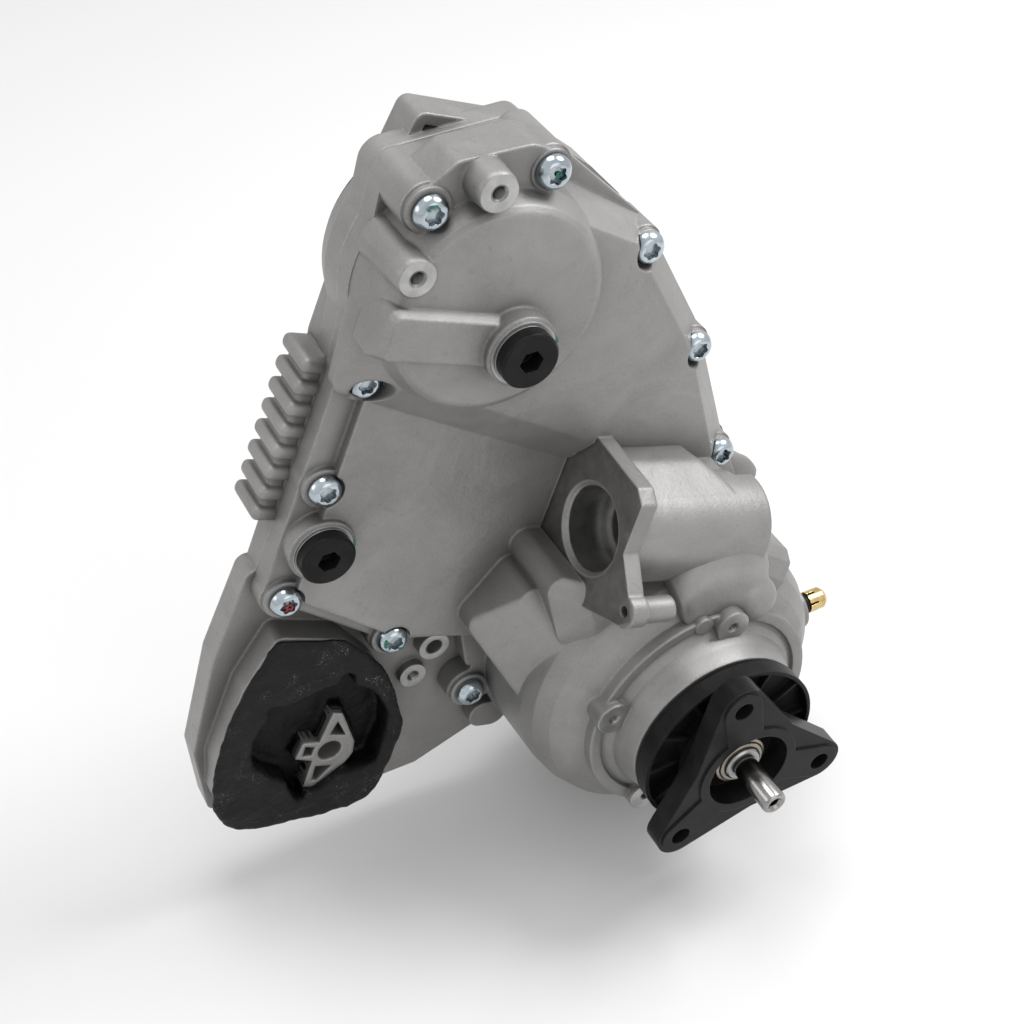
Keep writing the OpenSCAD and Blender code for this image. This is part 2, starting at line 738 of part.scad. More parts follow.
module plug_washers() {
    color(steel_colour) for (p = [[fill_c, fill_front], [drain_c, drain_front]])
        at(p[0]) ring_front(plug_r + seat, plug_head_r + 0.7, p[1], p[1] + washer_t);
}

module vent_neck() {
    color(black_colour) translate([vent_x, -vent_front, vent_z]) rotate([0, 90, 0]) difference() {
        union() {
            translate([0, 0, -14]) cylinder(r = 4, h = 24);
            cylinder(r = 6, h = 2.5);
            translate([0, 0, 3.5]) cylinder(r = 5.4, h = 2);
        }
        translate([0, 0, -15]) cylinder(r = 2, h = 30);
    }
}

module vent_cap() {
    color(brass_colour) translate([vent_x + 6, -vent_front, vent_z]) rotate([0, 90, 0]) difference() {
        union() {
            cylinder(r = 6, h = 9);
            translate([0, 0, 9]) cylinder(r1 = 6, r2 = 4.5, h = 2);
        }
        translate([0, 0, -1]) cylinder(r = 4 + seat, h = 9);
        for (a = [0 : 60 : 150]) rotate(a) translate([-7, -0.6, -1]) cube([14, 1.2, 6]);
    }
}

// Rubber mount
module mount_rubber() {
    half = mount_depth / 2;
    color(rubber_colour) difference() {
        union() {
            front(-half - 1, half + 1) loop_2d(mount_loop, 1.5 - seat);
            front(half + slack, half + 3) loop_2d(mount_loop, mount_ring);
        }
        for (f = [-half - 2, 3]) front(f, f + half + 1) link([-87, -251], 34.5, [-93, -251], 34);
        front(-half, half + 4) polygon(core_loop);
    }
}

core_loop = [[-81, -240.7], [-76.1, -243.2], [-71.3, -267.1], [-72.7, -274.9], [-77, -279.9], [-96.8, -290],
    [-101.7, -287.2], [-95.1, -270], [-103.9, -264], [-98.9, -254.7], [-90, -258.3]];
core_windows = [[[-79, -247.6], [-75.6, -260], [-84.2, -255.4]],
    [[-97.9, -257.6], [-92.7, -260.5], [-95.2, -265.7], [-100.2, -264.2]],
    [[-93.8, -274.9], [-84.7, -278.8], [-93.9, -286], [-96.8, -284.4]]];

module mount_core() {
    color(cast_colour) difference() {
        front(-mount_depth / 2 + 1, mount_depth / 2 - 2) polygon(core_loop);
        at(mount_c) disc_front(mount_hole_r, -40, 40);
        for (w = core_windows) front(0, mount_depth) polygon(w);
    }
}

module gearbox_gasket() {
    color(black_colour) ring_front(gasket_ri, main_out - 4.5, -gearbox_face - gasket_t, -gearbox_face);
}

// Input shaft and gear train
module input_shaft() {
    color(steel_colour) difference() {
        turned([[0, -spigot_back - 2], [journal_r - fit, -spigot_back - 2], [journal_r - fit, -main_rear],
            [gear_seat_r, -main_rear], [gear_seat_r, main_front[0]], [journal_r - fit, main_front[0]],
            [journal_r - fit, main_front[1]], [0, main_front[1]]]);
        disc_front(input_bore_r, -spigot_back - 3, 6);
    }
}

module drive_gear() {
    color(steel_colour) front(-gear_face / 2, gear_face / 2) difference() {
        gear_2d(drive_teeth, gear_module, 0);
        circle(gear_seat_r + seat);
    }
}

module main_bearing_front() {
    color(steel_colour) translate([0, -main_front[0], 0])
        ball_bearing(journal_r, bearing_ro, bearing_w, 9);
}

module main_bearing_rear() {
    color(steel_colour) translate([0, main_rear + bearing_w, 0])
        ball_bearing(journal_r, bearing_ro, bearing_w, 9);
}

module input_seal() {
    color(black_colour) translate([0, spigot_back, 0]) lip_seal(journal_r + 0.02, bearing_ro, seal_w - 1);
}

module idler_gear() {
    color(steel_colour) at(idler_c) difference() {
        front(-gear_face / 2, gear_face / 2) difference() {
            gear_2d(idler_teeth, gear_module, idler_phase);
            circle(idler_bearing_ro + fit);
        }
        for (f = [-gear_face / 2 - 1, gear_face / 2 - 4])
            ring_front(idler_bearing_ro + 9, idler_r - 12, f, f + 5);
        for (a = [0 : 60 : 300]) at(polar((idler_bearing_ro + idler_r) / 2, a)) disc_front(9, -20, 20);
    }
}

module idler_pin() {
    color(steel_colour) at(idler_c) turned([[0, -19.8], [idler_pin_r - 1, -19.8], [idler_pin_r, -18.8],
        [idler_pin_r, idler_hole - 1.2], [idler_pin_r - 1, idler_hole - 0.2], [0, idler_hole - 0.2]]);
}

module idler_bearing() {
    color(steel_colour) at(idler_c) translate([0, 8, 0])
        ball_bearing(idler_pin_r + seat, idler_bearing_ro, 16, 8);
}

// Lower axis, driven side
module lower_gear() {
    color(steel_colour) at(lower_c) front(-gear_face / 2, gear_face / 2) difference() {
        gear_2d(drive_teeth, gear_module, lower_phase);
        circle(lower_seat_r + seat);
    }
}

module lower_shaft() {
    back = -lower_boss_back - 6;
    color(steel_colour) at(lower_c) difference() {
        turned([[0, back], [journal_r - fit, back], [journal_r - fit, -main_rear], [lower_seat_r, -main_rear],
            [lower_seat_r, drum_floor[1]], [0, drum_floor[1]]]);
        disc_front(pilot_r + 2, -gear_face / 2, drum_floor[1] + 1);
    }
}

module side_socket() {
    color(steel_colour) at(lower_c) difference() {
        disc_front(journal_r + 6.5, -lower_boss_back - 24, -lower_boss_back - 0.6);
        disc_front(journal_r - fit + seat, -lower_boss_back - 6, -lower_boss_back + 1);
        disc_front(socket_r, -lower_boss_back - 25, -lower_boss_back - 1);
    }
}
socket_r = 13;

module clutch_drum() {
    color(steel_colour) at(lower_c) difference() {
        turned([[lower_seat_r + seat, gear_face / 2], [lower_seat_r + 8, gear_face / 2],
            [lower_seat_r + 8, drum_floor[0]], [drum_r, drum_floor[0]], [drum_r, drum_open],
            [drum_inner_r, drum_open], [drum_inner_r, drum_floor[1]], [lower_seat_r + seat, drum_floor[1]]]);
        for (i = [0 : tab_count - 1]) drum_slot(i, 3, drum_floor[1], drum_open + 1);
    }
}
module drum_slot(i, w, f0, f1) {
    rotate([0, i * 360 / tab_count, 0]) translate([drum_inner_r - 2, -f1, -w]) cube([8, f1 - f0, 2 * w]);
}

module tabbed_plate(ri, f0, f1, gap) {
    difference() {
        union() {
            disc_front(drum_inner_r - gap, f0, f1);
            for (i = [0 : tab_count - 1]) rotate([0, i * 360 / tab_count, 0])
                translate([drum_inner_r - 5, -f1, -3 + gap]) cube([5 + 3.2, f1 - f0, 6 - 2 * gap]);
        }
        disc_front(ri, f0 - 1, f1 + 1);
    }
}

module steel_plates() {
    color(steel_colour) at(lower_c) for (i = [0 : friction_count - 2]) {
        f = drum_floor[1] + pack_pitch * (i + 1) - plate_t;
        tabbed_plate(clutch_hub_r + 4, f, f + plate_t, 0.1);
    }
}

module pressure_plate() {
    color(steel_colour) at(lower_c) tabbed_plate(clutch_hub_r + 3, press_plate[0], press_plate[1], slack);
}

module lower_bearing_rear() {
    color(steel_colour) at(lower_c) translate([0, main_rear + lower_bearing_w, 0])
        ball_bearing(journal_r, lower_bearing_ro, lower_bearing_w, 9);
}

module rear_output_seal() {
    color(black_colour) at(lower_c) translate([0, lower_boss_back, 0])
        lip_seal(journal_r + 0.02, lower_bearing_ro, seal_w);
}

module pilot_bush() {
    color(bronze_colour) at(lower_c) ring_front(pilot_r + fit, pilot_r + 2 - seat, -gear_face / 2 + 1, 11);
}

// Lower axis, clutched side
output_end = arm_back + 8;
pin_foot_r = pin_r - 0.5;
module front_output_shaft() {
    end = output_end;
    color(steel_colour) at(lower_c) difference() {
        turned([[0, -gear_face / 2 + 3], [pilot_r, -gear_face / 2 + 3], [pilot_r, drum_floor[1] + 1],
            [spline_r, drum_floor[1] + 1], [spline_r, out_bearing[0] - 3], [spline_r + 5, out_bearing[0] - 3],
            [spline_r + 5, out_bearing[0]], [journal_r - fit, out_bearing[0]], [journal_r - fit, out_bearing[1]],
            [hub_spline_r, out_bearing[1]], [hub_spline_r, arm_back - 4], [10, arm_back - 4], [10, end - 1],
            [9, end], [0, end]]);
        disc_front(pin_foot_r + seat, end - 19, end + 1);
    }
}

module clutch_hub() {
    f0 = drum_floor[1] + slack;
    color(steel_colour) at(lower_c) difference() {
        turned([[spline_r + seat, f0], [clutch_hub_r, f0], [clutch_hub_r, press_plate[0]],
            [clutch_hub_r - 4, press_plate[0]], [clutch_hub_r - 4, f0 + 4], [spline_r + 8, f0 + 4],
            [spline_r + 8, f0 + 16], [spline_r + seat, f0 + 16]]);
        for (i = [0 : tab_count - 1]) rotate([0, i * 360 / tab_count, 0])
            translate([clutch_hub_r - 1.6, -press_plate[0] - 1, -3])
                cube([4, press_plate[0] - f0 + 2, 6]);
    }
}

module friction_plates() {
    color(bronze_colour) at(lower_c) for (i = [0 : friction_count - 1]) {
        f = drum_floor[1] + plate_gap + pack_pitch * i;
        difference() {
            disc_front(drum_inner_r - 4, f, f + plate_t);
            difference() {
                disc_front(clutch_hub_r + 0.1, f - 1, f + plate_t + 1);
                for (k = [0 : tab_count - 1]) rotate([0, k * 360 / tab_count, 0])
                    translate([clutch_hub_r - 1.4, -f - plate_t - 2, -2.8]) cube([5, plate_t + 4, 5.6]);
            }
        }
    }
}

module output_bearing() {
    color(steel_colour) at(lower_c) translate([0, -out_bearing[0], 0])
        ball_bearing(journal_r, lower_bearing_ro, out_bearing[1] - out_bearing[0], 9);
}

module output_seal() {
    color(black_colour) at(lower_c) translate([0, -nose_front + 1, 0]) mirror([0, 1, 0])
        lip_seal(hub_r + 0.03, lower_bearing_ro, seal_w);
}

arm_angles = [99, -21, -141];
module output_flange() {
    color(black_colour) at(lower_c) difference() {
        union() {
            front(arm_back, flange_front - 1) for (a = arm_angles) link([0, 0], 32, polar(flange_pcd / 2, a), 12.6);
            front(flange_front - 1, flange_front) for (a = arm_angles) {
                link(polar(27.4, a), 10, polar(flange_pcd / 2, a), 10.5);
                circle(28);
            }
            disc_front(30, arm_back - 6, arm_back);
            disc_front(hub_r, out_bearing[1] + 0.2, arm_back);
        }
        disc_front(22.8, arm_back - 2, flange_front + 1);
        disc_front(hub_spline_r + seat, out_bearing[1] - 1, flange_front + 1);
        for (a = arm_angles) at(polar(flange_pcd / 2, a)) disc_front(flange_hole_r, arm_back - 8, flange_front + 1);
    }
}

module dust_shield() {
    color(black_colour) at(lower_c) {
        turned([[hub_r + seat, shield[0]], [shield_r, shield[0]], [shield_r, shield[1]],
            [shield_r - 2, shield[1]], [shield_r - 2, shield[0] + 2], [hub_r + 4, shield[0] + 2],
            [hub_r + 4, shield[1] - 1], [hub_r + seat, shield[1] - 1]]);
        for (i = [0 : 11]) rotate([0, i * 30, 0])
            translate([hub_r + 3, -shield[1] + 3, -0.8]) cube([shield_r - hub_r - 4, shield[1] - shield[0] - 4, 1.6]);
    }
}

module collar_nut() {
    color(steel_colour) at(lower_c) difference() {
        union() {
            disc_front(16, arm_back - 2, arm_back - 0.5);
            translate([0, -arm_back + 0.5, 0]) rotate([90, 0, 0]) cylinder(r = 15.5, h = 6.5, $fn = 6);
        }
        disc_front(10 + seat, arm_back - 4, arm_back + 9);
    }
}

module centring_pin() {
    tip = flange_front + pin_proud;
    color(steel_colour) at(lower_c) difference() {
        turned([[0, arm_back - 10], [pin_foot_r, arm_back - 10], [pin_foot_r, output_end + 0.5],
            [pin_r, output_end + 0.5], [pin_r, tip - 1], [pin_r - 1, tip], [0, tip]]);
        disc_front(2.6, tip - 8, tip + 1);
        turned([[0, tip - 1.5], [2.5, tip - 1.5], [4.1, tip + 0.1], [0, tip + 0.1]]);
    }
}

// Ball ramp actuator
module sector_2d() {
    step = 360 / sector_teeth;
    r0 = sector_pitch_r - 1.25 * worm_module;
    r1 = sector_pitch_r + 0.9 * worm_module;
    thick = (PI * worm_module / 2 - 0.5) / 2 / sector_pitch_r * 180 / PI;
    lean = 1.25 * worm_module * tan(20) / sector_pitch_r * 180 / PI;
    first = ceil((sector_from - worm_angle) / step);
    last = floor((sector_to - worm_angle) / step);
    polygon(concat([for (k = [first : last]) each [
        polar(r0, worm_angle + k * step - thick - lean), polar(r1, worm_angle + k * step - thick + lean * 0.72),
        polar(r1, worm_angle + k * step + thick - lean * 0.72), polar(r0, worm_angle + k * step + thick + lean)
    ]], [for (a = [sector_to - 1.5 : -4 : sector_from + 1]) polar(r0 - 3, a)]));
}

sector_root = min(lower_cav, sector_pitch_r - 4) - 8;
module ramp_ring() {
    color(steel_colour) at(lower_c) difference() {
        union() {
            ring_front(32, lower_cav - 6, ramp_web[0], ramp_web[1]);
            rotate([90, 0, 0]) rotate(sector_from) rotate_extrude(angle = sector_to - sector_from)
                polygon([[sector_root, ramp_web[0]], [sector_pitch_r - 8, worm_front - sector_w / 2],
                    [sector_pitch_r - 4, worm_front - sector_w / 2], [sector_pitch_r - 4, ramp_web[1] - 0.5],
                    [sector_root, ramp_web[1] - 0.5]]);
            front(worm_front - sector_w / 2, worm_front + sector_w / 2) sector_2d();
        }
        for (i = [0 : 2]) rotate([90, 0, 0]) rotate(i * 120 - 5) rotate_extrude(angle = sector_travel + 10)
            translate([ball_ring_r, ball_front]) circle(ball_r + slack);
    }
}

module ramp_balls() {
    color(steel_colour) at(lower_c) for (i = [0 : 2]) at(polar(ball_ring_r, i * 120))
        translate([0, -ball_front, 0]) sphere(r = ball_r);
}

module pressure_ring() {
    color(steel_colour) at(lower_c) difference() {
        union() {
            ring_front(40, lower_cav - 9, press_ring[0], press_ring[1]);
            for (a = [180, 300]) rotate([0, -a, 0]) translate([60, -press_ring[1], -6])
                cube([lower_cav - 63, press_ring[1] - press_ring[0], 12]);
        }
        for (i = [0 : 2]) at(polar(ball_ring_r, i * 120)) translate([0, -ball_front, 0])
            sphere(r = ball_r + fit);
    }
}

module thrust_race(ri, ro, f0, f1) {
    ring_front(ri, ro, f0, f0 + 0.8);
    ring_front(ri, ro, f1 - 0.8, f1);
    mid = (f0 + f1) / 2;
    r = (f1 - f0) / 2 - 0.8 - fit;
    for (i = [0 : 23]) rotate([0, i * 15, 0]) translate([ri + 2, -mid, 0]) rotate([0, 90, 0])
        cylinder(r = r, h = ro - ri - 4);
}
module apply_bearing() { color(steel_colour) at(lower_c) thrust_race(apply_race[0], apply_race[1], apply[0], apply[1]); }
module ramp_bearing() { color(steel_colour) at(lower_c) thrust_race(36, 52, ramp_race[0], ramp_race[1]); }

// Worm drive
function thread_point(i, r, w, n) = [r * cos(i * 360 / n), r * sin(i * 360 / n), i * worm_lead / n + w];
module worm_thread(turns) {
    n = 24;
    count = turns * n;
    r0 = worm_pitch_r - 1.25 * worm_module;
    r1 = worm_pitch_r + worm_module;
    w1 = worm_lead / 4 - 0.35 - worm_module * tan(20);
    w0 = worm_lead / 4 - 0.35 + 1.25 * worm_module * tan(20);
    points = [for (i = [0 : count]) each [thread_point(i, r0 - 0.5, -w0, n), thread_point(i, r1, -w1, n),
        thread_point(i, r1, w1, n), thread_point(i, r0 - 0.5, w0, n)]];
    sides = [for (i = [0 : count - 1], k = [0 : 3]) each [
        [4 * i + k, 4 * i + (k + 1) % 4, 4 * i + 4 + k],
        [4 * i + (k + 1) % 4, 4 * i + 4 + (k + 1) % 4, 4 * i + 4 + k]]];
    polyhedron(points, concat([[3, 2, 1], [3, 1, 0]], sides,
        [[4 * count, 4 * count + 1, 4 * count + 2], [4 * count, 4 * count + 2, 4 * count + 3]]));
}

module worm_shaft() {
    turns = 2;
    core = worm_pitch_r - 1.25 * worm_module;
    color(steel_colour) worm_frame() difference() {
        union() {
            translate([0, 0, 26]) cylinder(r = worm_journal_r - fit, h = 21);
            translate([0, 0, 60]) cylinder(r = worm_tail_r - fit, h = worm_end - 2.2 - 60);
            translate([0, 0, 46.3]) cylinder(r = core, h = worm_end - 6.3 - 46.3);
            translate([0, 0, worm_reach - worm_lead]) rotate(180) worm_thread(turns);
        }
        translate([0, 0, 25]) cylinder(r = 3.5, h = 10, $fn = 6);
    }
}

module worm_bearing_outer() {
    color(steel_colour) worm_frame() rotate([90, 0, 0]) translate([0, 46, 0])
        ball_bearing(worm_journal_r, worm_bearing_ro, 11, 8);
}

module worm_bearing_inner() {
    color(steel_colour) worm_frame() rotate([90, 0, 0]) translate([0, worm_end - 2, 0])
        ball_bearing(worm_tail_r, worm_tail_ro, 4, 8);
}

module worm_ring() {
    color(steel_colour) worm_frame() translate([0, 0, 33.4]) difference() {
        cylinder(r = worm_bearing_ro, h = 1.5);
        translate([0, 0, -1]) cylinder(r = worm_bearing_ro - 3, h = 4);
    }
}

front_cover();
rear_housing();
cover_bolts();
dowel_pins();
fill_plug();
drain_plug();
plug_washers();
vent_neck();
vent_cap();
mount_rubber();
mount_core();
gearbox_gasket();
input_shaft();
drive_gear();
main_bearing_front();
main_bearing_rear();
input_seal();
idler_gear();
idler_pin();
idler_bearing();
lower_gear();
lower_shaft();
side_socket();
clutch_drum();
steel_plates();
pressure_plate();
lower_bearing_rear();
rear_output_seal();
pilot_bush();
front_output_shaft();
clutch_hub();
friction_plates();
output_bearing();
output_seal();
output_flange();
dust_shield();
collar_nut();
centring_pin();
ramp_ring();
ramp_balls();
pressure_ring();
apply_bearing();
ramp_bearing();
worm_shaft();
worm_bearing_outer();
worm_bearing_inner();
worm_ring();
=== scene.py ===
# %% [markdown]
# # A transfer case with cast halves, a motor plate and a rubber mount
# The packed model gives every part its place. This notebook gives the parts
# their looks: as-cast aluminium, zinc screws, black plugs, worn rubber and a
# polished pin. Lengths are written in millimetres and turned into metres once.

# %% Load the packed model
import math

import bmesh
import bpy
from mathutils import Matrix, Vector, noise


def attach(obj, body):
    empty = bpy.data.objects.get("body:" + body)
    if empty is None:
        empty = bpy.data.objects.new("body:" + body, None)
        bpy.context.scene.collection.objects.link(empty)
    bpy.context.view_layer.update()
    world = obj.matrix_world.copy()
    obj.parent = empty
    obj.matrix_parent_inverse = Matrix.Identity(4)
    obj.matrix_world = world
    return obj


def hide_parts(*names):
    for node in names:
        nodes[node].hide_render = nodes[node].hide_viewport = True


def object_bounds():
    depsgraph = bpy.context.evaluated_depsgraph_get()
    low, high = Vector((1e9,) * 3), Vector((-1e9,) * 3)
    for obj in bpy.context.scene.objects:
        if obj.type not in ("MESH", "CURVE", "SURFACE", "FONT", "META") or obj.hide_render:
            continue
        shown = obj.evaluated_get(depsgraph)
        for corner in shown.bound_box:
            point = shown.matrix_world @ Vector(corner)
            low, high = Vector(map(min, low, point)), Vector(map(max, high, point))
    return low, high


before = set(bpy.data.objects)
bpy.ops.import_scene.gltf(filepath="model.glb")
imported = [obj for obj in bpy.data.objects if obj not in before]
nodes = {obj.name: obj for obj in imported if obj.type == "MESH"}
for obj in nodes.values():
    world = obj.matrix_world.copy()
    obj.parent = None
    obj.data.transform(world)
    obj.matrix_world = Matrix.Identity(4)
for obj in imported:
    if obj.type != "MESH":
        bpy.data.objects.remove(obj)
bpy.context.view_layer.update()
MM = 0.001

# %% [markdown]
# ## Camera
# The unit was photographed from the front left, from well above. A camera can
# be turned by three angles, but three directions are easier to check against a
# picture: right, up, and back towards the lens.

# %% Camera
EYE = Vector((-0.27379, -0.58184, 0.42729))
RIGHT = Vector((0.888, -0.460, 0.0)).normalized()
BACK = Vector((-0.343, -0.662, 0.6665)).normalized()
UP = BACK.cross(RIGHT).normalized()
camera_data = bpy.data.cameras.new("camera")
camera_data.lens = 61.52
camera_data.sensor_width = 36
camera = bpy.data.objects.new("camera", camera_data)
camera.matrix_world = Matrix.Translation(EYE) @ Matrix((RIGHT, UP, BACK)).transposed().to_4x4()
bpy.context.scene.collection.objects.link(camera)
bpy.context.scene.camera = camera
print("camera at", [round(c, 3) for c in EYE])

# %% [markdown]
# ## Finishes
# A finish is a tree of nodes. Built by hand, node by node and link by link, it
# is hard to follow, so shader maths is written as plain expressions here. A
# Signal is one output of a node: adding or multiplying two Signals adds the
# Math node that does it, also where a plain number stands first, as in 1 - mask.

# %% Signals
class Signal:
    def __init__(self, finish, socket):
        self.finish = finish
        self.socket = socket

    def __add__(self, other):
        return self.finish.math("ADD", self, other)

    def __sub__(self, other):
        return self.finish.math("SUBTRACT", self, other)

    def __rsub__(self, other):
        return self.finish.math("SUBTRACT", other, self)

    def __mul__(self, other):
        return self.finish.math("MULTIPLY", self, other)

    __radd__ = __add__
    __rmul__ = __mul__


print("signals add, subtract and multiply")

# %% [markdown]
# ### A finish and its nodes
# A Finish collects the nodes of one material. Every node comes from one
# method, node, which takes its type, the values or links of its sockets and
# its settings. The short methods after it name what a finish is made of: noise
# of a given grain, masks for edges and for hollows, bumps and the surface.
# The Bevel node rounds an edge in the shading alone. Where its normal leaves
# the true one there is an edge, so it also gives the mask for wear.

# %% Finishes
SOFT_SAMPLES = 6
# The cosine between the rounded and the true normal, on a flat and on an edge.
FLAT, SHARP = 0.995, 0.86


class Finish:
    def __init__(self, name):
        self.material = bpy.data.materials.new(name)
        self.material.use_nodes = True
        self.tree = self.material.node_tree
        self.tree.nodes.clear()

    def node(self, kind, sockets=None, output=0, **settings):
        made = self.tree.nodes.new(kind)
        for key, value in settings.items():
            setattr(made, key, value)
        for key, value in (sockets or {}).items():
            target = made.inputs[key]
            if isinstance(value, Signal):
                self.tree.links.new(value.socket, target)
            else:
                target.default_value = value
        return Signal(self, made.outputs[output]) if made.outputs else None

    def math(self, operation, first, second):
        return self.node("ShaderNodeMath", {0: first, 1: second}, operation=operation)

    def between(self, value, low, high):
        sockets = {"Value": value, "From Min": low, "From Max": high}
        return self.node("ShaderNodeMapRange", sockets, clamp=True)

    def mix(self, factor, first, second):
        sockets = {0: factor, 6: first, 7: second}
        return self.node("ShaderNodeMix", sockets, output=2, data_type="RGBA")

    def place(self):
        return self.node("ShaderNodeTexCoord", output=3)

    def stretched(self, x, y, z):
        return self.node("ShaderNodeMapping", {"Vector": self.place(), "Scale": (x, y, z)})

    def noise(self, size, detail=2.0, roughness=0.5, distortion=0.0, vector=None):
        return self.node("ShaderNodeTexNoise", {
            "Vector": vector or self.place(), "Scale": 1.0 / size, "Detail": detail,
            "Roughness": roughness, "Distortion": distortion})

    def edges(self, radius):
        rounded = self.node("ShaderNodeBevel", {"Radius": radius}, samples=SOFT_SAMPLES)
        flat = self.node("ShaderNodeNewGeometry", output=1)
        agree = self.node("ShaderNodeVectorMath", {0: rounded, 1: flat}, output=1,
                          operation="DOT_PRODUCT")
        return rounded, self.between(agree, FLAT, SHARP)

    def hollows(self, reach, low, high):
        open_sky = self.node("ShaderNodeAmbientOcclusion", {"Distance": reach}, output=1,
                             samples=SOFT_SAMPLES)
        return 1 - self.between(open_sky, low, high)

    def bump(self, height, depth, strength, normal):
        sockets = {"Height": height, "Distance": depth, "Strength": strength, "Normal": normal}
        return self.node("ShaderNodeBump", sockets)

    def surface(self, colour, roughness, metallic, more=None):
        sockets = {"Base Color": colour, "Roughness": roughness, "Metallic": metallic}
        shader = self.node("ShaderNodeBsdfPrincipled", {**sockets, **(more or {})})
        self.node("ShaderNodeOutputMaterial", {"Surface": shader})
        return self.material


print("a finish can", [word for word in vars(Finish) if not word.startswith("_")])

# %% [markdown]
# ### Colours
# Metals are greys with a little warmth, and most shades of a finish are the
# same colour made lighter or darker. Numbers alone are worked out in Python.

# %% Colours
def grey(value, warm=0.0):
    return (value * (1 + warm), value, value * (1 - warm), 1.0)


def tinted(colour, factor):
    return tuple(c * factor for c in colour[:3]) + (1.0,)


print("warm grey:", [round(c, 3) for c in grey(0.5, 0.02)])

# %% [markdown]
# ### As-cast aluminium
# Die-cast and shot-blasted metal is a satin grey with a fine sandy skin,
# clouds of lighter and darker metal and rubbed, brighter edges; its corners
# get painted shade, with a little dust that makes them rougher too. A
# photograph could be laid over it, but noise of several sizes has no seams and
# fits a piece of any shape. Each line lays one more of these layers over the
# colour before it, and the same grain also drives the bump.

# %% Cast aluminium
def cast_finish(name, tone):
    f = Finish(name)
    rounded, edge = f.edges(0.0022)
    cloud = f.noise(0.045, 4.0, 0.6, 0.6)
    flow = f.noise(0.02, 3.0, 0.55, 1.0, f.stretched(1.0, 0.35, 1.0))
    sand = f.noise(0.0011, 3.0, 0.6)
    pits = f.between(f.noise(0.004, 2.0, 0.5), 0.66, 0.74)
    # Painted shade: the hollows mask darkens corners and recesses, and as a little dust it also
    # raises roughness.
    hollow_dust_and_shade = f.hollows(0.02, 0.3, 0.95)
    base = f.mix(f.between(cloud, 0.25, 0.75), grey(tone * 0.82, 0.025), grey(tone * 1.2, 0.012))
    streaked = f.mix(f.between(flow, 0.42, 0.72) * 0.22, base, grey(tone * 0.72, 0.02))
    grainy = f.mix(f.between(sand, 0.35, 0.65) * 0.16, streaked, grey(tone * 1.5, 0.012))
    worn = edge * 0.5 * f.between(sand, 0.25, 0.6)
    rubbed = f.mix(worn, grainy, grey(tone * 1.75, 0.006))
    dust_and_shade_darkened = f.mix(hollow_dust_and_shade * 0.62, rubbed, grey(tone * 0.34, 0.04))
    specked = f.mix(pits * 0.25, dust_and_shade_darkened, grey(tone * 0.6, 0.02))
    rough = 0.43 + cloud * 0.1 + hollow_dust_and_shade * 0.2 - edge * 0.06
    skin = f.bump(sand, 0.00026, 0.5, f.bump(cloud, 0.002, 0.4, rounded))
    return f.surface(specked, rough, 0.7, {"Normal": skin})


CAST = cast_finish("cast_aluminium", 0.26)
REAR_CAST = cast_finish("cast_aluminium_rear", 0.27)
print("castings:", CAST.name, REAR_CAST.name)

# %% [markdown]
# ### Machined, ground and plated metal
# Faces that a cutter has passed over are brighter than the cast skin and carry
# fine lines. A Wave node would draw them too evenly, so they are a fine noise
# that is squeezed along one axis. Zinc is bluish and smooth, with small dents.
# Bores and recesses look dark because little light reaches them: a mask for
# hollows shades them, whatever way they are lit.

# %% Machined and plated metals
def turned_finish(name, colour, roughness, pitch=0.0005, depth=0.00002):
    f = Finish(name)
    rounded, edge = f.edges(0.0005)
    lines = f.noise(pitch, 1.0, 0.4, 0.0, f.stretched(1.0, 3.0, 1.0))
    stain = f.noise(0.009, 3.0, 0.6, 0.4)
    lighter = tinted(colour, 1.14)
    base = f.mix(f.between(stain, 0.3, 0.7), tinted(colour, 0.78), lighter)
    worn = f.mix(edge * 0.4, base, lighter)
    deep = f.mix(f.hollows(0.004, 0.3, 0.9) * 0.8, worn, tinted(colour, 0.22))
    skin = f.bump(lines, depth, 0.5, rounded)
    return f.surface(deep, roughness + stain * 0.12 - 0.06, 1.0, {"Normal": skin})


MACHINED = turned_finish("machined_aluminium", grey(0.43, 0.01), 0.36)
# The motor face's milled metal is made darker as painted shade, because that face turns away from
# the light.
SHADED_MILLED = turned_finish("milled_aluminium_painted_shade", grey(0.24, 0.02), 0.42)
STEEL = turned_finish("turned_steel", grey(0.36), 0.3)
PIN_STEEL = turned_finish("polished_pin", grey(0.3, 0.03), 0.2, 0.004, 0.00001)
ZINC = turned_finish("zinc_plate", (0.46, 0.52, 0.56, 1.0), 0.2, 0.0016, 0.0001)
COLLAR = turned_finish("oiled_collar", (0.3, 0.27, 0.23, 1.0), 0.3)
BRASS = turned_finish("brass", (0.66, 0.5, 0.23, 1.0), 0.25)
BRONZE = turned_finish("sintered_bronze", (0.45, 0.29, 0.14, 1.0), 0.45)
METALS = (MACHINED, SHADED_MILLED, STEEL, PIN_STEEL, ZINC, COLLAR, BRASS, BRONZE)
print("metals:", [metal.name for metal in METALS])

# %% [markdown]
# ### Black parts
# The flange and the plugs are black coated steel whose edges show a hint of
# grey, and the shield and the vent neck are black plastic. They differ only in
# tone, gloss and wear, so one function makes them all. A low specular level
# keeps the pale studio from washing the black out.

# %% Black metals, plastic and seals
def black_finish(name, tone, roughness, edge_tone):
    f = Finish(name)
    rounded, edge = f.edges(0.0008)
    speckle = f.noise(0.0009, 2.0, 0.6)
    haze = f.noise(0.012, 3.0, 0.6, 0.5)
    base = f.mix(f.between(haze, 0.35, 0.7), grey(tone * 0.75), grey(tone * 1.35))
    worn = f.mix(edge * f.between(speckle, 0.35, 0.65) * 0.7, base, grey(edge_tone))
    skin = f.bump(speckle, 0.00006, 0.5, rounded)
    return f.surface(worn, roughness + haze * 0.14 - 0.07, 0.0,
                     {"Normal": skin, "Specular IOR Level": 0.1})


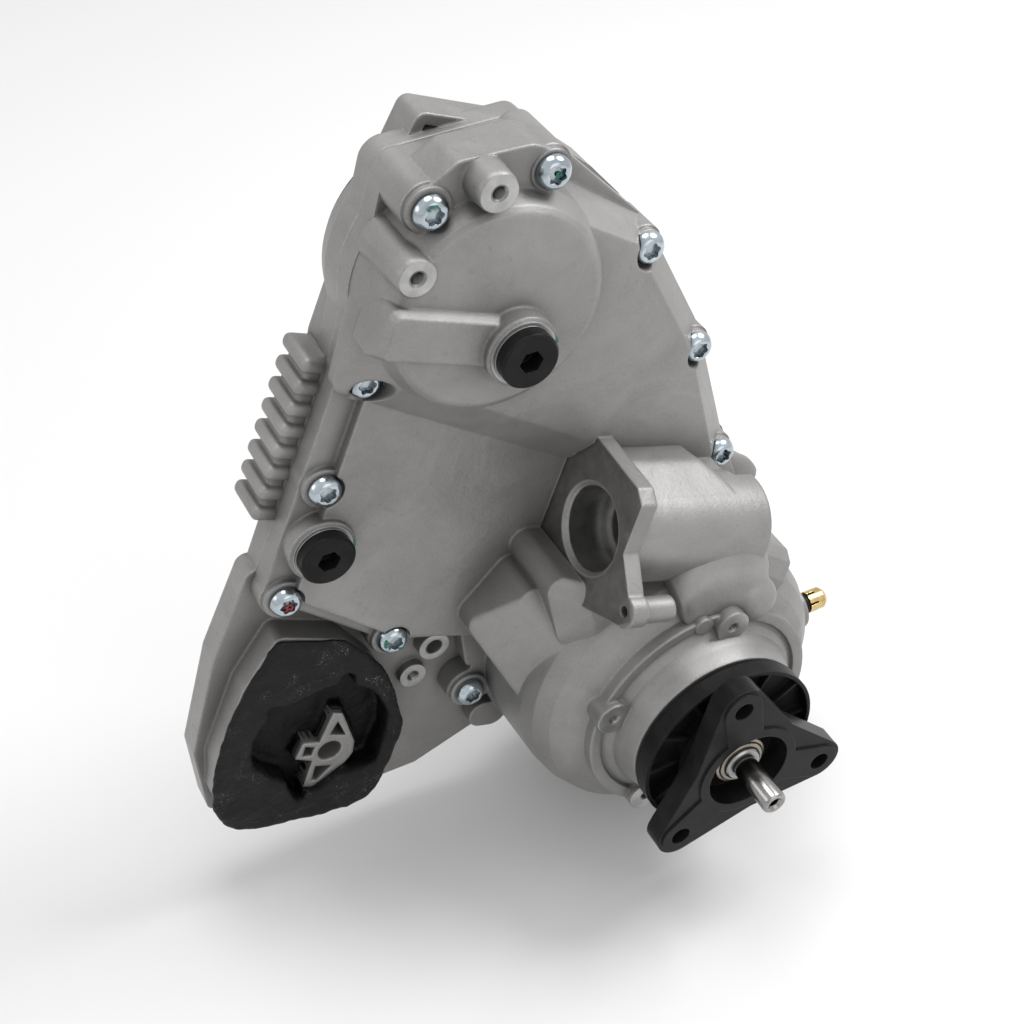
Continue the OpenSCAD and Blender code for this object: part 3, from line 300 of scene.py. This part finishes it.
BLACK_METAL = black_finish("black_coated_steel", 0.01, 0.33, 0.045)
BLACK_PLASTIC = black_finish("black_plastic", 0.012, 0.42, 0.03)
SEAL = black_finish("seal_rubber", 0.01, 0.55, 0.02)
print("black:", BLACK_METAL.name, BLACK_PLASTIC.name, SEAL.name)

# %% [markdown]
# ### Worn rubber
# The mount is old rubber: dull and lumpy, with pale scuffs in patches, and
# painted shade darkens its hollows, so that its floor is nearly black. A scuff
# is a fine torn noise that shows only inside the patches of a coarse one,
# because rubber is scratched where it was touched.

# %% Worn rubber
def rubber_finish(name):
    f = Finish(name)
    rounded, edge = f.edges(0.0016)
    lumps = f.noise(0.011, 4.0, 0.6, 0.3)
    grain = f.noise(0.0014, 3.0, 0.65)
    patch = f.between(f.noise(0.018, 3.0, 0.55, 0.8), 0.56, 0.7)
    scratch = f.between(f.noise(0.0022, 4.0, 0.75, 2.5), 0.58, 0.66)
    scuff = patch * scratch
    hollow = f.hollows(0.03, 0.35, 0.95)
    base = f.mix(lumps, grey(0.003), grey(0.014))
    dusty = f.mix(scuff * 0.95, base, grey(0.42, 0.02))
    rubbed = f.mix(edge * 0.25, dusty, grey(0.04))
    # Painted shade: the hollows, the mouth's floor most, are darkened nearly to black.
    shaded = f.mix(hollow, rubbed, grey(0.0015))
    skin = f.bump(lumps, 0.004, 0.5, f.bump(grain, 0.0003, 0.6, rounded))
    return f.surface(shaded, 0.5 + scuff * 0.3 + lumps * 0.12 - 0.05, 0.0,
                     {"Normal": skin, "Specular IOR Level": 0.16})


RUBBER = rubber_finish("worn_rubber")
print("rubber:", RUBBER.name)

# %% [markdown]
# ### Finishes onto the packed parts
# The packed parts already have their shapes, so most of them only need a
# finish in their material slots. The table names those that aren't plain steel.

# %% Finishes onto the packed parts
FINISH_OF = {
    "front_cover": CAST, "rear_housing": REAR_CAST, "mount_core": CAST, "cover_bolts": ZINC,
    "fill_plug": BLACK_METAL, "drain_plug": BLACK_METAL, "output_flange": BLACK_METAL,
    "dust_shield": BLACK_PLASTIC, "vent_neck": BLACK_PLASTIC, "vent_cap": BRASS,
    "mount_rubber": RUBBER, "gearbox_gasket": SEAL, "input_seal": SEAL, "output_seal": SEAL,
    "rear_output_seal": SEAL, "pilot_bush": BRONZE, "friction_plates": BRONZE,
    "centring_pin": PIN_STEEL}
for name, part in nodes.items():
    finish = FINISH_OF.get(name, STEEL)
    if part.material_slots:
        for slot in part.material_slots:
            slot.material = finish
    else:
        part.data.materials.append(finish)
print("dressed", len(nodes), "packed parts")

# %% [markdown]
# ## Making pieces
# Every new piece is drawn in millimetres as a bmesh, made clean, scaled to
# metres and tied to the body that carries it. Its place is in its mesh, so the
# object stays at the origin, and a pattern on object coordinates stays put.

# %% Settling a piece
CLOSE = 0.0005


def settle(name, bm, finish, body, sharp=32, replaces=()):
    bmesh.ops.remove_doubles(bm, verts=bm.verts, dist=CLOSE)
    bmesh.ops.recalc_face_normals(bm, faces=bm.faces)
    bmesh.ops.scale(bm, vec=(MM, MM, MM), verts=bm.verts)
    mesh = bpy.data.meshes.new(name)
    bm.to_mesh(mesh)
    bm.free()
    mesh.materials.append(finish)
    mesh.shade_smooth()
    mesh.set_sharp_from_angle(angle=math.radians(sharp))
    made = bpy.data.objects.new(name, mesh)
    bpy.context.scene.collection.objects.link(made)
    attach(made, body)
    if replaces:
        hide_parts(*replaces)
    print(f"{name}: {len(mesh.vertices)} points on {body}")


def poured(part, whole):
    loose = bpy.data.meshes.new("loose")
    part.to_mesh(loose)
    part.free()
    whole.from_mesh(loose)
    bpy.data.meshes.remove(loose)


print("points closer than", CLOSE, "mm are welded")

# %% [markdown]
# ### Turning on a lathe
# Round things are turned: a profile of (radius, distance in front of the joint
# plane) is spun about an axis that points at the camera side.

# %% Turned shapes and places
LOWER = (90.54, -250.12)


def spun(bm, profile, centre, steps):
    x, z = centre
    points = [bm.verts.new((x + r, -f, z)) for r, f in profile]
    edges = [bm.edges.new(pair) for pair in zip(points, points[1:])]
    bmesh.ops.spin(bm, geom=points + edges, axis=(0, 1, 0), cent=(x, 0, z),
                   angle=math.tau, steps=steps, use_merge=True)
    bmesh.ops.remove_doubles(bm, verts=bm.verts, dist=CLOSE)


def polar(centre, radius, degrees):
    return (centre[0] + radius * math.cos(math.radians(degrees)),
            centre[1] + radius * math.sin(math.radians(degrees)))


print("lower axis", LOWER)

# %% [markdown]
# ### Flange screws
# The twelve screws are zinc plated, with a flanged round head and a star
# recess. The recess could be cut with a Boolean, but the head's innermost ring
# can make it too: it is extruded inwards and down, its points are pulled to
# six lobes, and the last ring is closed.

# %% Flange screws
SCREWS = [(-27.47, 52.55, 35), (27.98, 55.88, 35), (81.28, -1.84, 26), (113.82, -69.09, 23),
          (133.5, -141.98, 23), (-52.95, -36.66, 15), (-75.44, -90.35, 15),
          (-99.82, -149.57, 15), (-47.69, -199.12, 15), (-5.65, -259.04, 15),
          (170.89, -292.84, 12), (100.05, -340.62, 12)]
HEAD = [(4.0, 0.5), (8.0, 0), (8.15, 0.7), (8.0, 1.7), (7.5, 3.0), (6.6, 4.4), (5.6, 5.1),
        (4.7, 5.35)]
RECESS_R, HEAD_TOP = HEAD[-1]
STAR_RINGS = [(0.15, 3.9, 0.45), (2.6, 3.55, 0.42)]
LOBES = 6
TURN_STEP = 0.6


def on_recess(v, x, z, level):
    return (abs(v.co.y + level) < 0.01
            and abs(math.hypot(v.co.x - x, v.co.z - z) - RECESS_R) < 0.02)


def inside(edge, ring):
    return edge.verts[0] in ring and edge.verts[1] in ring


def star_screw(bm, x, z, seat, turn):
    spun(bm, [(r, seat + f) for r, f in HEAD], (x, z), 48)
    ring = [v for v in bm.verts if on_recess(v, x, z, seat + HEAD_TOP)]
    edges = [e for e in bm.edges if inside(e, ring)]
    for sink, radius, wave in STAR_RINGS:
        grown = bmesh.ops.extrude_edge_only(bm, edges=edges)["geom"]
        ring = [g for g in grown if isinstance(g, bmesh.types.BMVert)]
        edges = [g for g in grown if isinstance(g, bmesh.types.BMEdge) and inside(g, ring)]
        for v in ring:
            angle = math.atan2(v.co.z - z, v.co.x - x)
            r = radius + wave * math.cos(LOBES * (angle - turn))
            v.co = (x + r * math.cos(angle), -(seat + HEAD_TOP - sink), z + r * math.sin(angle))
    bmesh.ops.contextual_create(bm, geom=edges)


screws = bmesh.new()
for index, (x, z, seat) in enumerate(SCREWS):
    one = bmesh.new()
    star_screw(one, x, z, seat, TURN_STEP * index)
    spun(one, [(4.0, seat + 0.5), (3.95, -9.5), (3.2, -10.5), (0.0, -10.5)], (x, z), 24)
    poured(one, screws)
settle("flange_screws", screws, ZINC, "case", 28, ["cover_bolts"])

# %% [markdown]
# ### Paint marks
# A fitter dabs green paint beside each tightened screw, and here one red dot.
# The marks could be masked in the metal's finish, but a thin blob is easier to
# move: a small grid, rounded off, made ragged by noise and laid on the metal.
# Its finish fades out in patches, as paint does that was dabbed on thinly.

# %% Paint
DOME, RAGGED, LIFT = 0.12, 0.18, 0.02


def paint_finish(name, colour):
    f = Finish(name)
    alpha = f.between(f.noise(0.0018, 3.0, 0.6), 0.4, 0.52)
    shade = f.mix(f.noise(0.0008, 2.0), colour, tinted(colour, 0.5))
    return f.surface(shade, 0.38, 0.0, {"Alpha": alpha})


def dab(name, x, z, front, across, along, turn, finish):
    bm = bmesh.new()
    bmesh.ops.create_grid(bm, x_segments=10, y_segments=10, size=1.0)
    upright = Matrix.Rotation(math.radians(90), 3, "X")
    bmesh.ops.rotate(bm, cent=(0, 0, 0), matrix=upright, verts=bm.verts)
    for v in bm.verts:
        r = max(abs(v.co.x), abs(v.co.z))
        angle = math.atan2(v.co.z, v.co.x)
        rim = Vector((math.cos(angle) * 1.7, math.sin(angle) * 1.7, x))
        ragged = 1 + RAGGED * noise.noise(rim)
        v.co = (r * math.cos(angle) * across * ragged, -DOME * (1 - r ** 4),
                r * math.sin(angle) * along * ragged)
    leaning = Matrix.Rotation(math.radians(turn), 3, "Y")
    bmesh.ops.rotate(bm, cent=(0, 0, 0), matrix=leaning, verts=bm.verts)
    bmesh.ops.translate(bm, vec=(x, -front - LIFT, z), verts=bm.verts)
    settle(name, bm, finish, "case", 80)


GREEN = paint_finish("green_paint", (0.0, 0.19, 0.115, 1.0))
RED = paint_finish("red_paint", (0.35, 0.02, 0.015, 1.0))
print("paints:", GREEN.name, RED.name)

# %% [markdown]
# Each row of the table is one dab: its place, how far it lies in front of the
# joint plane, its two half widths, its turn and its paint.

# %% Green and red dabs
DABS = [
    (-28.5, 56.8, 40.45, 3.0, 1.5, 10, GREEN), (-62.6, -36.0, 15.0, 1.1, 2.4, 5, GREEN),
    (-44.8, -37.6, 19.4, 0.8, 1.6, 0, GREEN), (-66.3, -88.6, 15.0, 1.0, 2.0, 12, GREEN),
    (-52.6, -197.4, 20.3, 1.6, 2.6, 0, GREEN), (-45.0, -203.5, 20.3, 1.6, 0.9, 20, GREEN),
    (20.6, -13.6, 55.0, 0.8, 2.0, -10, GREEN), (-65.6, -122.2, 22.0, 0.8, 1.8, 0, GREEN),
    (29.4, 55.0, 38.4, 1.6, 1.4, 30, GREEN), (8.5, -262.5, 15.0, 1.0, 1.6, 0, GREEN),
    (-99.8, -151.4, 19.2, 2.6, 2.2, 30, RED), (138.6, -149.4, 23.0, 1.3, 0.9, 20, GREEN)]
for index, row in enumerate(DABS):
    dab(f"paint_{index + 1}", *row)

# %% [markdown]
# ### Machined faces
# A cutter has cleaned the faces that carry something: the threaded bosses, the
# plug seats and the motor face. They could be masked in the shader, but thin
# skins that lie on the casting are easier to read and to move. Each row gives
# a centre, an inner and an outer radius and the face's height.

# %% Machined faces
SKIN = 0.05
BOSS_ONE, BOSS_TWO, WEB_BOSS = (-2.6, 60.5), (-38.5, 30.0), (-33, -244)
NOSE_BOSSES = [polar(LOWER, 58, a) for a in (157, 77, -123)]
BOSS_FACES = [(BOSS_ONE, 3.7, 8.5, 48), (BOSS_TWO, 3.7, 8.3, 46), ((4.9, -15.8), 11.2, 15.4, 55),
              ((-81.05, -121.31), 11.2, 14.9, 22), *((c, 2.8, 8.9, 92) for c in NOSE_BOSSES),
              ((-21.5, -225), 4.7, 8.4, 8), (WEB_BOSS, 3.2, 7.4, 5)]
faces = bmesh.new()
for centre, inner, outer, front in BOSS_FACES:
    spun(faces, [(inner, front - 0.5), (inner + 0.3, front + SKIN), (outer, front + SKIN),
                 (outer + 0.08, front - 0.15)], centre, 48)
settle("machined_rings", faces, MACHINED, "case")

# %% [markdown]
# ### Threads
# The bosses are tapped. A true helix hardly shows at this size, so each thread
# is a stack of rings inside its bore, spun from a saw-tooth profile.

# %% Threads
THREAD_PITCH = 0.9
TAPPED = [(BOSS_ONE, 3.38, 14, 48), (BOSS_TWO, 3.38, 14, 46),
          *((c, 2.58, 10, 92) for c in NOSE_BOSSES), (WEB_BOSS, 2.98, 9, 5)]


def threads(bm, centre, radius, depth, front):
    profile = [(radius + 0.4, front + SKIN), (radius, front - 0.4)]
    for i in range(int(depth / THREAD_PITCH)):
        profile += [(radius - 0.5, front - 0.6 - (i + 0.25) * THREAD_PITCH),
                    (radius, front - 0.6 - (i + 0.75) * THREAD_PITCH)]
    spun(bm, profile, centre, 32)


tapped = bmesh.new()
for row in TAPPED:
    threads(tapped, *row)
settle("tapped_threads", tapped, STEEL, "case", 20)

# %% [markdown]
# ### Motor face
# The motor that turned the worm is missing, so its machined face shows: a
# sloping plate with a large bore, its metal darkened as painted shade. Its skin
# is one outline with three holes. A triangle fill closes it in one step, where a
# Boolean would take three, and it is laid on the face by the axes of the worm drive.

# %% Motor face
DOWN, BACKWARD, INWARD = Vector((-0.342, 0, -0.940)), Vector((0, 1, 0)), Vector((0.940, 0, -0.342))
MOTOR_AT = (42.34, -52.0, -134.03)
MOTOR = Vector(MOTOR_AT)
PLATE = [(-41, 41), (-38, -20), (-33, -27), (-6, -28), (11, -45), (17, -50), (24, -44),
         (38, -8), (42, 42), (-10, 41)]
INSET = 0.985
PLATE_HOLES = [((0, 0), 23.6, 64), ((-27, 30), 3.1, 24), ((16, -43), 3.1, 24)]


def on_motor_face(u, v, depth):
    return MOTOR + DOWN * u + BACKWARD * v + INWARD * depth


def closed_wire(bm, points):
    ring = [bm.verts.new(point) for point in points]
    return [bm.edges.new((a, b)) for a, b in zip(ring, ring[1:] + ring[:1])]


def motor_circle(bm, centre, radius, steps, depth):
    angles = [math.tau * i / steps for i in range(steps)]
    return closed_wire(bm, [on_motor_face(centre[0] + radius * math.cos(a),
                                          centre[1] + radius * math.sin(a), depth)
                            for a in angles])


motor_skin = bmesh.new()
wires = closed_wire(motor_skin, [on_motor_face(u * INSET, v * INSET, -SKIN) for u, v in PLATE])
for centre, radius, steps in PLATE_HOLES:
    wires += motor_circle(motor_skin, centre, radius, steps, -SKIN)
bmesh.ops.triangle_fill(motor_skin, edges=wires, use_beauty=True)
# The motor face wears the darker milled finish, which is painted shade.
settle("motor_face", motor_skin, SHADED_MILLED, "case")

# %% [markdown]
# ### Motor bore
# The bore is turned brighter than the plate round it: a chamfer, a wall and
# the shoulder in front of the bearing. Four rings are bridged in turn.

# %% Motor bore
BORE_RINGS = [(23.55, 0.0), (20.9, 2.5), (20.9, 23.9), (15.3, 23.9)]
bore = bmesh.new()
rings = [motor_circle(bore, (0, 0), radius, 64, depth) for radius, depth in BORE_RINGS]
for outer, inner in zip(rings, rings[1:]):
    bmesh.ops.bridge_loops(bore, edges=outer + inner)
settle("motor_bore", bore, MACHINED, "case")

# %% [markdown]
# ### Helpers for soft lumps
# Soft castings and moulded rubber have no crisp edges. Bevels would fail where
# many blocks meet, so the blocks are made as plain slabs, joined or cut as
# solids, remeshed in small voxels so that all of it becomes one even skin, and
# then smoothed.

# %% Helpers for soft lumps
def slab(outline, f0, f1, grow=1.0, about=(0, 0)):
    bm = bmesh.new()
    cx, cz = about
    edges = closed_wire(bm, [(cx + (x - cx) * grow, -f0, cz + (z - cz) * grow)
                             for x, z in outline])
    cap = bmesh.ops.contextual_create(bm, geom=edges)["faces"]
    risen = bmesh.ops.extrude_face_region(bm, geom=cap)["geom"]
    lifted = [g for g in risen if isinstance(g, bmesh.types.BMVert)]
    bmesh.ops.translate(bm, vec=(0, f0 - f1, 0), verts=lifted)
    bmesh.ops.recalc_face_normals(bm, faces=bm.faces)
    return bm


def workpiece(bm):
    mesh = bpy.data.meshes.new("workpiece")
    bmesh.ops.scale(bm, vec=(MM, MM, MM), verts=bm.verts)
    bm.to_mesh(mesh)
    bm.free()
    made = bpy.data.objects.new("workpiece", mesh)
    bpy.context.scene.collection.objects.link(made)
    return made


def remeshed(base, steps, voxel):
    for operation, tool in steps:
        cut = base.modifiers.new("cut", "BOOLEAN")
        cut.operation, cut.object, cut.solver = operation, tool, "EXACT"
    remesh = base.modifiers.new("skin", "REMESH")
    remesh.mode, remesh.voxel_size = "VOXEL", voxel * MM
    bpy.context.view_layer.update()
    shaped = base.evaluated_get(bpy.context.evaluated_depsgraph_get())
    bm = bmesh.new()
    bm.from_mesh(shaped.to_mesh())
    bmesh.ops.scale(bm, vec=(1 / MM, 1 / MM, 1 / MM), verts=bm.verts)
    for used in [base] + [tool for _, tool in steps]:
        bpy.data.objects.remove(used)
    return bm


def smoothed(bm, verts, turns):
    for _ in range(turns):
        bmesh.ops.smooth_vert(bm, verts=verts, factor=0.5,
                              use_axis_x=True, use_axis_y=True, use_axis_z=True)


print("slabs can be joined, remeshed and smoothed")

# %% [markdown]
# ### Rubber mount
# The mount is moulded rubber round an aluminium core, pressed into the arm of
# the rear housing. Years of heat have left it lumpy, with torn notches in its
# mouth. It starts from a merged copy of the packed rubber. A wider rim is
# joined on, the mouth and the core's seat are cut out, and noise stirs the
# front skin, which the photograph shows.

# %% Rubber
RUBBER_EDGE = [
    (-105.7, -172.9), (-72, -187.9), (-62.1, -200.1), (-53.8, -215.3), (-48.7, -231.5),
    (-44.3, -261.9), (-51.2, -282.3), (-57.2, -295.3), (-59.5, -301.4), (-68.8, -310.4),
    (-80.6, -312.9), (-88.9, -308.9), (-91.9, -310.1), (-108.9, -306.5), (-127.3, -302.3),
    (-139.5, -297.6), (-147.2, -288.9), (-151.3, -273.6), (-148.1, -246.5), (-141.1, -227.6),
    (-134.3, -212.8), (-129.2, -203.9), (-121.6, -190.7), (-116.2, -187.8), (-112.2, -178)]
RUBBER_MOUTH = [
    (-116.9, -214.9), (-112.3, -216.7), (-108.5, -219.8), (-101.9, -218.1), (-87.9, -216.3),
    (-77.3, -217.7), (-74.4, -210.8), (-68.8, -213.6), (-70.1, -221.9), (-62.1, -228.2),
    (-56.7, -236.7), (-53.1, -250.1), (-54.7, -264.8), (-58.7, -273.6), (-62.8, -284.8),
    (-73.4, -285.2), (-87.1, -282.6), (-100.8, -282.3), (-103.6, -295.7), (-108.8, -286.4),
    (-111.1, -274.1), (-119.5, -265.7), (-126.7, -255.7), (-126.8, -245), (-124.6, -235.8),
    (-119.7, -226.9), (-114.5, -222.9), (-115.6, -217.8)]
CORE_EDGE = [
    (-81, -240.7), (-76.1, -243.2), (-71.3, -267.1), (-72.7, -274.9), (-77, -279.9), (-96.8, -290),
    (-101.7, -287.2), (-95.1, -270), (-103.9, -264), (-98.9, -254.7), (-90, -258.3)]
HEART, CORE_HEART = (-92.0, -248.0), (-86.0, -266.0)
RUBBER_VOXEL = 1.1
SKIN_FROM = -9.0
print("rubber outlines:", len(RUBBER_EDGE), len(RUBBER_MOUTH), len(CORE_EDGE))

# %% Rubber, joined and stirred
rubber = bmesh.new()
rubber.from_mesh(nodes["mount_rubber"].data)
bmesh.ops.remove_doubles(rubber, verts=rubber.verts, dist=1e-6)
bmesh.ops.scale(rubber, vec=(1 / MM, 1 / MM, 1 / MM), verts=rubber.verts)
rubber = remeshed(workpiece(rubber), [
    ("UNION", workpiece(slab(RUBBER_EDGE, 2.5, 16.5, 0.925, HEART))),
    ("UNION", workpiece(slab(RUBBER_EDGE, 15.4, 18.3))),
    ("DIFFERENCE", workpiece(slab(RUBBER_MOUTH, 3.5, 30))),
    ("UNION", workpiece(slab(CORE_EDGE, 1.0, 11.0, 1.1, CORE_HEART))),
    ("DIFFERENCE", workpiece(slab(CORE_EDGE, -14.0, 30, 1.004, CORE_HEART)))], RUBBER_VOXEL)
everything = list(rubber.verts)
front_skin = [v for v in everything if v.co.y < SKIN_FROM]
smoothed(rubber, everything, 3)
smoothed(rubber, front_skin, 16)
rubber.normal_update()
for v in front_skin:
    v.co += v.normal * (0.9 * noise.noise(v.co / 13.0) + 0.35 * noise.noise(v.co / 4.5) + 0.1)
settle("mount_rubber_skin", rubber, RUBBER, "case", 60, ["mount_rubber"])

# %% [markdown]
# ### Bulges of the cover
# Over the toothed sector the cover swells into a rounded bulge, and a smaller
# lump beside it clears the bearing. The worm's housing has a flat top with a
# slanted end, and behind it the joint flange has an ear. The sector's block is
# swept round the lower axis, lower at both ends, and the housing's is a prism
# along the worm. Melted together they get the soft fillets of a casting, and
# they overlap the cover, so no seam shows.

# %% Blocks of the bulges
def swept(profile, centre, start, end, steps, crown):
    root = profile[0][0]
    bm = bmesh.new()
    rims = []
    for i in range(steps + 1):
        a = math.radians(start + (end - start) * i / steps)
        fall = 1 - crown * abs(2 * i / steps - 1) ** 3
        ring = [(root + (r - root) * fall, f) for r, f in profile]
        rims.append(closed_wire(bm, [(centre[0] + r * math.cos(a), -f, centre[1] + r * math.sin(a))
                                     for r, f in ring]))
    for first, second in zip(rims, rims[1:]):
        bmesh.ops.bridge_loops(bm, edges=first + second)
    for rim in (rims[0], rims[-1]):
        bmesh.ops.contextual_create(bm, geom=rim)
    bmesh.ops.recalc_face_normals(bm, faces=bm.faces)
    return bm


WORM_LEAN = math.radians(20)


def beside_worm(u, v, w):
    x, y, z = MOTOR_AT
    lean_x, lean_z = math.sin(WORM_LEAN), math.cos(WORM_LEAN)
    return (x - u * lean_x + w * lean_z, y + v, z - u * lean_z - w * lean_x)


def prism(section, near, far):
    bm = bmesh.new()
    ends = [closed_wire(bm, [beside_worm(u, v, w) for (u, v), w in zip(section, reach)])
            for reach in ([near] * len(section), far)]
    bmesh.ops.bridge_loops(bm, edges=ends[0] + ends[1])
    for end in ends:
        bmesh.ops.contextual_create(bm, geom=end)
    bmesh.ops.triangulate(bm, faces=bm.faces)
    bmesh.ops.recalc_face_normals(bm, faces=bm.faces)
    return bm


print("worm axis starts at", MOTOR_AT)

# %% [markdown]
# The profiles are (radius, distance in front) for the swept and the turned
# block, and places in the plane of the motor face for the prism.

# %% Bulges
SECTOR = [(62, 44), (107, 44), (107, 58), (104, 68), (96, 78), (84, 85), (62, 86)]
LUMP, LUMP_AT = [(0, 50), (13.5, 50), (13.5, 83), (11.5, 87), (7, 89.5), (0, 90)], (121, -190)
HOUSING = [(-33, 8), (-24.8, -11), (-19, -17), (-22.4, -8), (-23.5, 0), (-22.6, 9),
           (-22.6, 40.5), (-33, 40.5)]
HOUSING_NEAR, HOUSING_FAR = 7, [60, 76, 80, 78, 74, 68, 56, 50]
EAR = [(127.0, -144.2), (147.6, -156.7), (168.2, -174.2), (172.8, -181.7), (168.5, -200.6),
       (160.1, -200.9), (136.9, -189.3)]
CAST_VOXEL = 1.3
lump = bmesh.new()
spun(lump, LUMP, LUMP_AT, 40)
blocks = bmesh.new()
for block in (swept(SECTOR, LOWER, 61, 100, 16, 0.28), lump,
              prism(HOUSING, HOUSING_NEAR, HOUSING_FAR), slab(EAR, 1.2, 8.6)):
    poured(block, blocks)
bulges = remeshed(workpiece(blocks), [], CAST_VOXEL)
smoothed(bulges, bulges.verts, 9)
settle("cover_bulges", bulges, CAST, "case", 70)

# %% [markdown]
# ### Ribs and bed of the cooling fins
# The fins of the rear casting are thick ribs with round rims, and the wall
# swells out between them. Eight bevelled slabs clothe the thin fins of the
# packed part, and one more lies under them all as the bed. A bevel is enough
# here, because no two rims meet.

# %% Ribs and bed
ALONG, OUT = math.radians(247.3), math.radians(157.3)
FIRST_FIN = (-54.49, -40.35)
FIN_PITCH, FINS = 11.4, 8
RIB_HALF, RIB_ROOT, RIB_RIM = 0.33, 7, 22.0
BED_ROOT, BED_RIM = 6, 18


def on_fins(step, out):
    x = FIRST_FIN[0] + step * FIN_PITCH * math.cos(ALONG) + out * math.cos(OUT)
    z = FIRST_FIN[1] + step * FIN_PITCH * math.sin(ALONG) + out * math.sin(OUT)
    return (x, z)


def cushion(outline, f0, f1, offset):
    bm = slab([on_fins(step, out) for step, out in outline], f0, f1)
    bmesh.ops.bevel(bm, geom=bm.edges[:], offset=offset, segments=4, affect="EDGES",
                    profile=0.5, material=-1)
    return bm


bed = cushion([(-0.6, BED_ROOT), (-0.15, BED_RIM), (7.15, BED_RIM), (7.5, BED_ROOT)],
              -2.2, -22.6, 2.0)
for i in range(FINS):
    low, high = i - RIB_HALF, i + RIB_HALF
    rib = cushion([(low, RIB_ROOT), (low, RIB_RIM), (high, RIB_RIM), (high, RIB_ROOT)],
                  1.2, -25.2, 3.2)
    poured(rib, bed)
settle("fin_bed", bed, REAR_CAST, "case")

# %% [markdown]
# ### Pin and collar of the output flange
# A hardened pin centres the propeller shaft. It is turned, with a chamfer and
# a centre hole in its end, and stands in a stepped collar that holds the
# flange. Both could be stacked from cylinders, but one profile each, spun
# about the lower axis, gives the steps and chamfers in one go.

# %% Pin and collar
PIN_PROFILE = [
    (0, 114), (6.0, 114), (6.0, 131.6), (6.5, 131.7), (6.5, 157.6), (6.3, 158.2),
    (5.5, 158.95), (4.1, 158.95), (2.6, 157.4), (2.6, 151), (0, 150)]
COLLAR_PROFILE = [
    (10.2, 121.1), (15.9, 121.1), (15.9, 122.4), (14.6, 122.7), (14.6, 126.6), (14.0, 127.4),
    (12.6, 127.6), (12.4, 128.6), (11.8, 129.0), (10.2, 129.0), (10.2, 121.1)]
for name, profile, finish, slot, node in (
        ("turned_pin", PIN_PROFILE, PIN_STEEL, "pin_steel", "centring_pin"),
        ("turned_collar", COLLAR_PROFILE, COLLAR, "steel", "collar_nut")):
    turned = bmesh.new()
    spun(turned, profile, LOWER, 64)
    settle(name, turned, finish, "flange_drive", 25, [node])

# %% [markdown]
# ## Floor and light
# A pale floor lies just under the lowest point. A white world gives most of the
# light, as a studio tent does. Four large soft lamps add shape: a key from the
# right, one overhead, a weak fill in front and an edge from the left.

# %% Floor and light
FLOOR_GAP = 0.0005
floor_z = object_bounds()[0][2] - FLOOR_GAP
bpy.ops.mesh.primitive_plane_add(size=8.0, location=(0, 0, floor_z))
floor = bpy.context.object
floor.name = "floor"
floor.data.materials.append(Finish("pale_paper").surface(grey(0.66), 0.9, 0.0))
MIDDLE = Vector((0.02, 0.0, -0.14))
LAMPS = [("right_key", (1.1, -0.15, 1.15), 0.7, 20), ("overhead", (0.0, 0.25, 1.5), 0.8, 10),
         ("front_fill", (0.3, -1.7, 0.7), 1.4, 4), ("left_edge", (-1.4, 0.2, 0.5), 0.7, 2)]
for name, place, size, power in LAMPS:
    data = bpy.data.lights.new(name, "AREA")
    data.shape, data.size, data.energy = "DISK", size, power
    lamp = bpy.data.objects.new(name, data)
    aim = (MIDDLE - Vector(place)).to_track_quat("-Z", "Y")
    lamp.matrix_world = Matrix.Translation(place) @ aim.to_matrix().to_4x4()
    bpy.context.scene.collection.objects.link(lamp)
print("lamps:", len(LAMPS), "floor at", round(floor_z, 4))

# %% [markdown]
# The Standard view transform keeps the paper white, where the usual one would
# turn it grey.

# %% World
world = bpy.data.worlds.new("studio")
world.use_nodes = True
background = world.node_tree.nodes["Background"]
background.inputs["Color"].default_value = (1, 1, 1, 1)
background.inputs["Strength"].default_value = 0.85
bpy.context.scene.world = world
bpy.context.scene.view_settings.view_transform = "Standard"
print("world:", world.name)

# %% [markdown]
